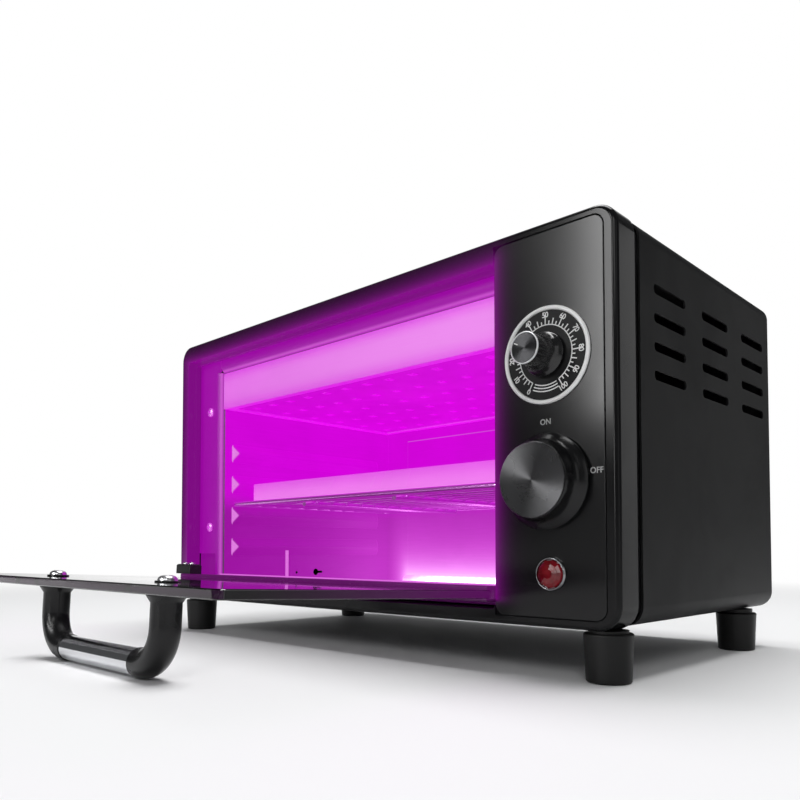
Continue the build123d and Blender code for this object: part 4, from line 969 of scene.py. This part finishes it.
def arc_mesh(radius, width, start, end, steps):
    """A thin raised band along part of a circle that faces the front; angles clockwise from the top."""
    work = bmesh.new()
    rows = []
    for step in range(steps + 1):
        angle = math.radians(start + (end - start) * step / steps)
        across = [(radius - width / 2, 0.0), (radius + width / 2, 0.0), (radius + width / 2, -ink_depth),
                  (radius - width / 2, -ink_depth)]
        rows.append([work.verts.new((r * mm * math.sin(angle), y * mm, r * mm * math.cos(angle)))
                     for r, y in across])
    for near, far in zip(rows, rows[1:]):
        walled(work, near, far)
    work.faces.new(rows[0])
    work.faces.new(rows[-1])
    work.transform(Matrix.Translation(dial_middle))
    return mesh_from(work, "arc")


def lettered(text, height, place, turn=0.0, spacing=1.0):
    """Raised ink letters that face the front, centred on a place."""
    curve = bpy.data.curves.new("letters", "FONT")
    curve.body = text
    curve.size = height / capital_share * mm
    curve.align_x = curve.align_y = "CENTER"
    curve.extrude = ink_depth / 2 * mm
    curve.offset = ink_stroke
    curve.space_character = spacing
    curve.resolution_u = 4
    holder = linked("letters", curve)
    mesh = plain_mesh(holder, "letters")
    bpy.data.objects.remove(holder)
    upright = Matrix.Rotation(math.pi / 2, 4, "X")
    mesh.transform(Matrix.Translation(place) @ Matrix.Rotation(turn, 4, "Y") @ upright)
    return mesh


def joined(meshes, name):
    work = bmesh.new()
    for mesh in meshes:
        work.from_mesh(mesh)
    return mesh_from(work, name, outwards=False)


dial_black = finish_material(
    "dial_black", (0.004, 0.004, 0.0045), (0.006, 0.006, 0.0065), (0.4, 0.5), grain_scale=1800.0, specular=0.12,
    dust=0.0)
finished("dial_plate", dial_black, edge=0.15)
finished("dial_ring", white_plastic, edge=0.15)
ticks = grown(ticks_tree(), "dial_ticks", bpy.data.meshes.new("ticks"), count=tick_count,
              start=math.radians(scale_start), step=math.radians(scale_sweep / (tick_count - 1)),
              circle=tick_circle * mm, short=tick_lengths[0] * mm, middling=tick_lengths[1] * mm,
              long=tick_lengths[2] * mm, width=tick_width * mm, depth=ink_depth * mm,
              middle=dial_middle - Vector((0, ink_depth / 2 * mm, 0)), finish=print_white)
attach(ticks, "oven")
printed("dial_circle", arc_mesh(tick_circle, circle_width, scale_start, -scale_start, 90), "oven")
for number, radius in enumerate(arc_radii):
    printed("dial_arc_%d" % (number + 1), arc_mesh(radius, arc_width, 180 - arc_reach, 180 + arc_reach, 16), "oven")
numbers = []
for value in range(0, 101, 10):
    angle = math.radians(scale_start + scale_sweep * value / 100)
    upright_angle = angle if abs(angle) < math.radians(100) else angle - math.copysign(math.pi, angle)
    offset = Vector((number_radius * math.sin(angle), -ink_depth / 2, number_radius * math.cos(angle))) * mm
    numbers.append(lettered(str(value), number_height, dial_middle + offset, upright_angle, 0.9))
printed("dial_numbers", joined(numbers, "dial_numbers"), "oven")


# The timer's knob: a slim moulded bullet with a flared skirt, capped by a spun aluminium face with a bright rim and
# a printed mark that points at the scale.
turned_edges = 30


def spun_face(name, low, high, material, dish, rings=26, segments=128):
    """A spun metal disc with its own UV: U runs round it and V out from the middle; its side is closed behind."""
    middle = (low + high) / 2
    radius = (high.x - low.x) / 2
    profile = [(radius * step / rings, low.y + dish * (1 - step / rings)) for step in range(1, rings + 1)]
    profile = [(r, y) for r, y in profile if r < radius - 0.25 * mm]
    profile += [(radius - 0.22 * mm, low.y), (radius, low.y + 0.22 * mm), (radius, high.y)]
    work = bmesh.new()
    layer = work.loops.layers.uv.new("spun")
    circles = [ring(work, r, y, segments, middle) for r, y in profile]
    hub = work.verts.new((middle.x, profile[0][1] + dish / rings, middle.z))
    rear = work.verts.new((middle.x, high.y, middle.z))

    def face(verts, uvs):
        made = work.faces.new(verts)
        for loop, uv in zip(made.loops, uvs):
            loop[layer].uv = uv

    for step in range(segments):
        after = (step + 1) % segments
        u0, u1 = step / segments, (step + 1) / segments
        for number, (near, far) in enumerate(zip(circles, circles[1:])):
            v0, v1 = (number + 1) / len(profile), (number + 2) / len(profile)
            face([near[step], far[step], far[after], near[after]], [(u0, v0), (u0, v1), (u1, v1), (u1, v0)])
        face([hub, circles[0][step], circles[0][after]], [(u0, 0), (u0, 1 / len(profile)), (u1, 1 / len(profile))])
        face([circles[-1][step], rear, circles[-1][after]], [(u0, 1), (u0, 1), (u1, 1)])
    return linked(name, mesh_from(work, name, outwards=False, material=material, smooth=turned_edges))


def spun_metal(name, colour, second, roughness, rings):
    """Dark aluminium spun on a lathe: fine rings, and shine drawn out across them."""
    material, tree, shader = new_material(name, Metallic=1.0, Anisotropic=0.85)
    outwards = split(shader_node(tree, "UVMap", {"uv_map": "spun"}).outputs[0])["Y"]
    groove = shader_node(tree, "TexNoise", {"noise_dimensions": "1D"}, {
        "W": outwards, "Scale": rings, "Detail": 3.0, "Roughness": 0.7}).outputs[0]
    smudge = from_group(tree, grain_group, Grain_scale=2000.0, Smudge_scale=60.0)["Smudge"]
    along = shader_node(tree, "Tangent", {"direction_type": "UV_MAP", "uv_map": "spun"})
    feed(shader, Base_Color=mixed(groove, colour, second), Roughness=between(smudge, *roughness),
         Normal=bumped(groove, 0.05, 0.00002), Tangent=along.outputs[0])
    return material


knob_gloss = finish_material(
    "knob_gloss", (0.009, 0.009, 0.0095), (0.012, 0.012, 0.0125), (0.10, 0.2), grain_scale=700.0, grain_bump=0.03,
    specular=0.5, dust=0.05)
finished("timer_knob", knob_gloss, edge=0.2)
timer_cap_low, timer_cap_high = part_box("timer_knob_cap")
timer_cap_metal = spun_metal("timer_cap_metal", (0.045, 0.045, 0.047), (0.03, 0.03, 0.032), (0.22, 0.26), 60.0)
rim_width = 0.5 * mm
rim_rise = 0.3 * mm
rim_chamfer = 0.2 * mm
rim_inner_chamfer = 0.15 * mm
cap_inset = Vector((rim_width, 0, rim_width))
timer_cap = spun_face("timer_cap_face", timer_cap_low + cap_inset + Vector((0, rim_rise, 0)),
                      timer_cap_high - cap_inset, timer_cap_metal, dish=0.08 * mm, rings=14, segments=96)
stands_for(timer_cap, "timer_knob_cap")
bright_rim = finish_material(
    "bright_rim", (0.80, 0.80, 0.81), (0.7, 0.7, 0.71), (0.35, 0.45), metallic=0.35, grain_scale=1800.0, dust=0.0)
cap_middle = (timer_cap_low + timer_cap_high) / 2
cap_radius = (timer_cap_high.x - timer_cap_low.x) / 2
rim_mesh = lathe([(cap_radius - rim_width, timer_cap_high.y), (cap_radius, timer_cap_high.y),
                  (cap_radius, timer_cap_low.y + rim_chamfer), (cap_radius - rim_chamfer, timer_cap_low.y),
                  (cap_radius - rim_width + rim_inner_chamfer, timer_cap_low.y),
                  (cap_radius - rim_width, timer_cap_low.y + rim_inner_chamfer)], 96, closed=True)
rim_mesh.transform(Matrix.Translation((cap_middle.x, 0, cap_middle.z)))
rim_mesh.materials.append(bright_rim)
smooth_over(rim_mesh, 40)
cap_rim = linked("timer_cap_rim", rim_mesh)
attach(cap_rim, "timer")

pointer_angle = math.radians(-62)
pointer_size = Vector((0.55, 0.03, 2.2)) * mm
pointer_radius = 5.0 * mm
pointer_sink = 0.012 * mm


def bar_mesh(size):
    """A small printed bar with its corners cut."""
    x, y, z = size / 2
    cut = min(x, z) * 0.2
    outline = [(x - cut, -z), (x, -z + cut), (x, z - cut), (x - cut, z), (-x + cut, z), (-x, z - cut),
               (-x, -z + cut), (-x + cut, -z)]
    work = bmesh.new()
    prism(work, [(a, -y, b) for a, b in outline], [(a, y, b) for a, b in outline])
    return mesh_from(work, "bar")


pointer = bar_mesh(pointer_size)
pointer_place = Vector((cap_middle.x + pointer_radius * math.sin(pointer_angle),
                        timer_cap_low.y + rim_rise + pointer_sink,
                        cap_middle.z + pointer_radius * math.cos(pointer_angle)))
pointer.transform(Matrix.Translation(pointer_place) @ Matrix.Rotation(pointer_angle, 4, "Y"))
printed("timer_pointer", pointer, "timer")


# The rotary switch's knob: a broad moulding with a dished skirt and a dark spun cap, and its two printed marks.
finished("switch_knob", black_plastic, edge=0.2)
switch_cap_low, switch_cap_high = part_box("switch_knob_cap")
switch_cap_metal = spun_metal("switch_cap_metal", (0.085, 0.085, 0.087), (0.062, 0.062, 0.065), (0.26, 0.31), 220.0)
switch_cap = spun_face("switch_cap_face", switch_cap_low, switch_cap_high, switch_cap_metal, dish=0.25 * mm)
stands_for(switch_cap, "switch_knob_cap")
faded_print = finish_material(
    "faded_print", (0.42, 0.42, 0.42), (0.32, 0.32, 0.32), (0.45, 0.6), grain_scale=2400.0, smudge_scale=90.0,
    dust=0.0)
mark_height = 2.6
mark_places = (("ON", 143.6, 118.4), ("OFF", 169.6, 94.1))
for label, x, z in mark_places:
    place = Vector((x * mm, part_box("control_panel")[0].y - ink_depth / 2 * mm, z * mm))
    printed("mark_" + label.lower(), lettered(label, mark_height, place), "oven", faded_print)


# The indicator: a red moulded lens, cut in facets, in a bright pressed ring.
red_lens, red_tree, red_shader = new_material(
    "red_lens", Roughness=0.12, Emission_Strength=0.2, Specular_IOR_Level=0.4)
red_smudge = from_group(red_tree, grain_group, Grain_scale=500.0, Smudge_scale=160.0)["Smudge"]
feed(red_shader, Base_Color=mixed(red_smudge, (0.12, 0.002, 0.006), (0.06, 0.001, 0.003)),
     Emission_Color=mixed(red_smudge, (0.30, 0.004, 0.012), (0.12, 0.001, 0.004)))
lens_low, lens_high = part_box("indicator_lens")
lens_middle = (lens_low + lens_high) / 2
lens_radius = (lens_high.x - lens_low.x) / 2
lens_facets = 10
lens_edge = 0.12
facet_angle = 12


def lens_mesh():
    """A low dome in three rows of facets over a short spigot."""
    depth = lens_high.y - lens_low.y
    shares = [(0, 0), (0.34, 0), (0.72, 0.12), (0.95, 0.34), (1.0, 0.5), (1.0, 0.64), (0.86, 0.64), (0.86, 1.0),
              (0, 1.0)]
    mesh = lathe([(lens_radius * out, lens_low.y + depth * back) for out, back in shares], lens_facets)
    mesh.transform(Matrix.Translation((lens_middle.x, 0, lens_middle.z)) @ Matrix.Rotation(0.2, 4, "Y"))
    mesh.materials.append(red_lens)
    return mesh


lens = linked("indicator_lens_cut", lens_mesh())
break_edges(lens, lens_edge, 2, facet_angle)
lens.data = plain_mesh(lens, "indicator_lens_cut")
stands_for(lens, "indicator_lens")
dark_chrome = finish_material(
    "dark_chrome", (0.30, 0.30, 0.31), (0.24, 0.24, 0.25), (0.12, 0.2), metallic=1.0, grain_bump=0.03, dust=0.0)
finished("indicator_ring", dark_chrome, edge=0.1)


# The case: one wrap of sheet steel over the top and sides, powder-coated satin black, with slots punched in its
# right side, and the back panel that closes it, held by seven screws. The mains cord's gland is in the back.
case_paint = finish_material(
    "case_paint", (0.008, 0.008, 0.0085), (0.011, 0.011, 0.0115), (0.40, 0.5), grain_scale=1500.0,
    grain_bump=0.25, grain_depth=0.00006, wear=(0.04, 0.04, 0.042), specular=0.1, dust=0.1)
finished("outer_case", case_paint, edge=0.35, segments=3)
finished("rear_panel", case_paint, edge=0.3)
screws("rear_screws", 1.8, 3.4, 1.25, facing_back, black_zinc, 4)
finished("cable_gland", black_plastic)
finished("gland_nut", black_plastic)


# The feet: tapered moulded rubber, each drawn up by one screw in a deep recess.
foot_rubber = finish_material(
    "foot_rubber", (0.006, 0.006, 0.006), (0.010, 0.010, 0.010), (0.35, 0.5), grain_scale=1300.0, grain_bump=0.2,
    wear=(0.02, 0.02, 0.02), specular=0.22, dust=0.1)
for node in ("foot_front_left", "foot_front_right", "foot_rear_left", "foot_rear_right"):
    finished(node, foot_rubber)
facing_down = Matrix.Rotation(math.pi / 2, 4, "X")
screws("foot_screws", 2.5, 3.8, 2.0, facing_down, fixing_steel, 5)


# The rack: a round-cornered frame of bright wire with thin cross wires and two bearers welded under them.
frame_wire = 1.75
cross_wire = 1.2
cross_count = 11
frame_corner = 6.0
bearer_drop = 2.55
bearer_shares = (0.33, 0.67)


def rack_tree():
    """A wire frame filled with cross wires, on bearers that run the other way."""
    tree, source, out = geometry_tree(
        "wire rack", Int=("Count",), Vector=("Middle",), Material=("Finish",),
        Float=("Width", "Depth", "Corner", "Wire", "Cross wire", "Drop", "First bearer", "Second bearer"))
    thick = geo(tree, "CurvePrimitiveCircle", Resolution=14, Radius=source["Wire"])
    thin = geo(tree, "CurvePrimitiveCircle", Resolution=10, Radius=source["Cross wire"])

    def drawn(curve, profile):
        return geo(tree, "CurveToMesh", Curve=curve, Profile_Curve=profile, Fill_Caps=True)

    outline = geo(tree, "CurvePrimitiveQuadrilateral", Width=source["Width"], Height=source["Depth"])
    rounded = add_node(tree, "GeometryNodeFilletCurve", {"mode": "POLY"}, {
        "Curve": outline, "Count": 8, "Radius": source["Corner"]})
    half_depth = times(source["Depth"], 0.5)
    half_width = times(source["Width"], 0.5)
    pitch = math_node("DIVIDE", source["Depth"], math_node("ADD", source["Count"], 1.0))
    place = minus(times(pitch, math_node("ADD", geo(tree, "InputIndex"), 1.0)), half_depth)
    across = geo(tree, "CurvePrimitiveLine", Start=combine(tree, times(half_width, -1.0)),
                 End=combine(tree, half_width))
    spots = geo(tree, "Points", Count=source["Count"], Position=combine(tree, y=place))
    bars = geo(tree, "InstanceOnPoints", Points=spots, Instance=drawn(across, thin))
    pieces = [drawn(rounded.outputs[0], thick), bars]
    below = times(source["Drop"], -1.0)
    short = minus(half_depth, source["Wire"])
    for label in ("First bearer", "Second bearer"):
        x = times(source["Width"], minus(source[label], 0.5))
        line = geo(tree, "CurvePrimitiveLine", Start=combine(tree, x, times(short, -1.0), below),
                   End=combine(tree, x, short, below))
        pieces.append(drawn(line, thick))
    whole = add_node(tree, "GeometryNodeJoinGeometry")
    for piece in pieces:
        tree.links.new(piece, whole.inputs[0])
    close_tree(tree, whole.outputs[0], source, out)
    return tree


# The wire's violet tint and glow are painted lamp light.
rack_wire_metal = lit_steel("rack_wire", (0.62, 0.3, 0.66), (0.18, 0.28), glow=0.32, metallic=1.0, folds=0.8)
rack = grown(rack_tree(), "wire_rack_detailed", bpy.data.meshes.new("rack"),
             width=rack_high.x - rack_low.x - 2 * frame_wire * mm,
             depth=rack_high.y - rack_low.y - 2 * frame_wire * mm, corner=frame_corner * mm, wire=frame_wire * mm,
             cross_wire=cross_wire * mm, count=cross_count, drop=bearer_drop * mm, first_bearer=bearer_shares[0],
             second_bearer=bearer_shares[1],
             middle=((rack_low.x + rack_high.x) / 2, (rack_low.y + rack_high.y) / 2, rack_high.z - frame_wire * mm),
             finish=rack_wire_metal)
smooth_over(rack.data, 50)
stands_for(rack, "wire_rack")


# The tray: pressed from one bright sheet, with an upright rim.
tray_low, tray_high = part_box("curing_tray")
# The tray's violet tint, glow and paler front face are painted lamp light.
tray_steel = lit_steel("tray_steel", (0.5, 0.15, 0.52), (0.22, 0.34), glow=0.80, pale=(0.92, 0.22, 0.88),
                       pale_spans=[("Z", tray_high.z + 6 * mm, tray_low.z + 1 * mm)])
finished("curing_tray", tray_steel, edge=0.35, segments=3)


# The door: a pane of smoked safety glass in a black rail, with its stop bracket, two pins to turn on, and a handle
# of two moulded elbows on a bright tube, held through the glass by two screws on washers.
hinge = next(joint for joint in frame["record"]["behaviour"]["joints"] if joint["name"] == "door_hinge")
hinge_place = Vector(hinge["pos_m"])
opened = Matrix.Translation(hinge_place) @ Matrix.Rotation(-math.radians(hinge["range_deg"][0]), 4, "X") \
    @ Matrix.Translation(-hinge_place)
facing_inside = opened @ facing_back

glass_tint = (0.034, 0.032, 0.036)
ground_roughness = 0.55
ground_from, ground_to = 0.4 * mm, 0.1 * mm
smoked_glass, glass_tree, glass_shader = new_material(
    "smoked_glass", IOR=1.5, Transmission_Weight=1.0, Specular_IOR_Level=0.3, Emission_Strength=1.0)
glass_smudge = from_group(glass_tree, grain_group, Grain_scale=90.0, Smudge_scale=16.0)["Smudge"]
pane_low, pane_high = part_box("door_glass")
pane_middle = (pane_low.x + pane_high.x) / 2
half_pane = (pane_high.x - pane_low.x) / 2
glass_at = split(object_place(glass_tree))
from_middle = math_node("ABSOLUTE", minus(glass_at["X"], pane_middle))
ground_edge = ramp(from_middle, half_pane - ground_from, half_pane - ground_to)
# The ground edge also glows with a painted violet light, stronger towards the back.
edge_light = times(ground_edge, ramp(glass_at["Y"], pane_low.y, pane_high.y))
feed(glass_shader, Base_Color=mixed(ground_edge, glass_tint, black),
     Emission_Color=mixed(edge_light, black, (0.085, 0.003, 0.09)),
     Roughness=largest(between(glass_smudge, 0.02, 0.07), times(ground_edge, ground_roughness)))
pane = finished("door_glass", smoked_glass, edge=0)
pane.visible_shadow = False
# The rail takes the painted window glow too, in a dimmer violet.
rail_paint = take_spill(finish_material(
    "rail_paint", (0.006, 0.006, 0.0065), (0.009, 0.009, 0.0095), (0.25, 0.35), grain_scale=1500.0, grain_bump=0.15,
    wear=(0.03, 0.03, 0.032), specular=0.25, dust=0.05), (0.10, 0.004, 0.105))
finished("hinge_rail", rail_paint)
finished("stop_bracket", satin_paint, edge=0.3, segments=3)
screws("stop_screws", 1.4, 2.3, 1.25, facing_inside, fixing_steel, 6)
screws("handle_screws", 2.6, 4.5, 2.0, facing_inside, fixing_steel, 7)
for node in ("hinge_pin_left", "hinge_pin_right"):
    finished(node, fixing_steel)
finished("handle_washers", foot_rubber, edge=0.1)
handle_plastic = finish_material(
    "handle_plastic", (0.003, 0.003, 0.0033), (0.005, 0.005, 0.0055), (0.2, 0.3), grain_scale=1200.0,
    grain_bump=0.06, wear=(0.025, 0.025, 0.027), specular=0.3, dust=0.05)
for node in ("handle_leg_left", "handle_leg_right"):
    finished(node, handle_plastic, edge=0.3)
bright_chrome = finish_material(
    "bright_chrome", (0.72, 0.73, 0.75), (0.66, 0.67, 0.69), (0.08, 0.15), metallic=1.0, grain_bump=0.03, dust=0.0)
finished("handle_grip", bright_chrome, edge=0.3)
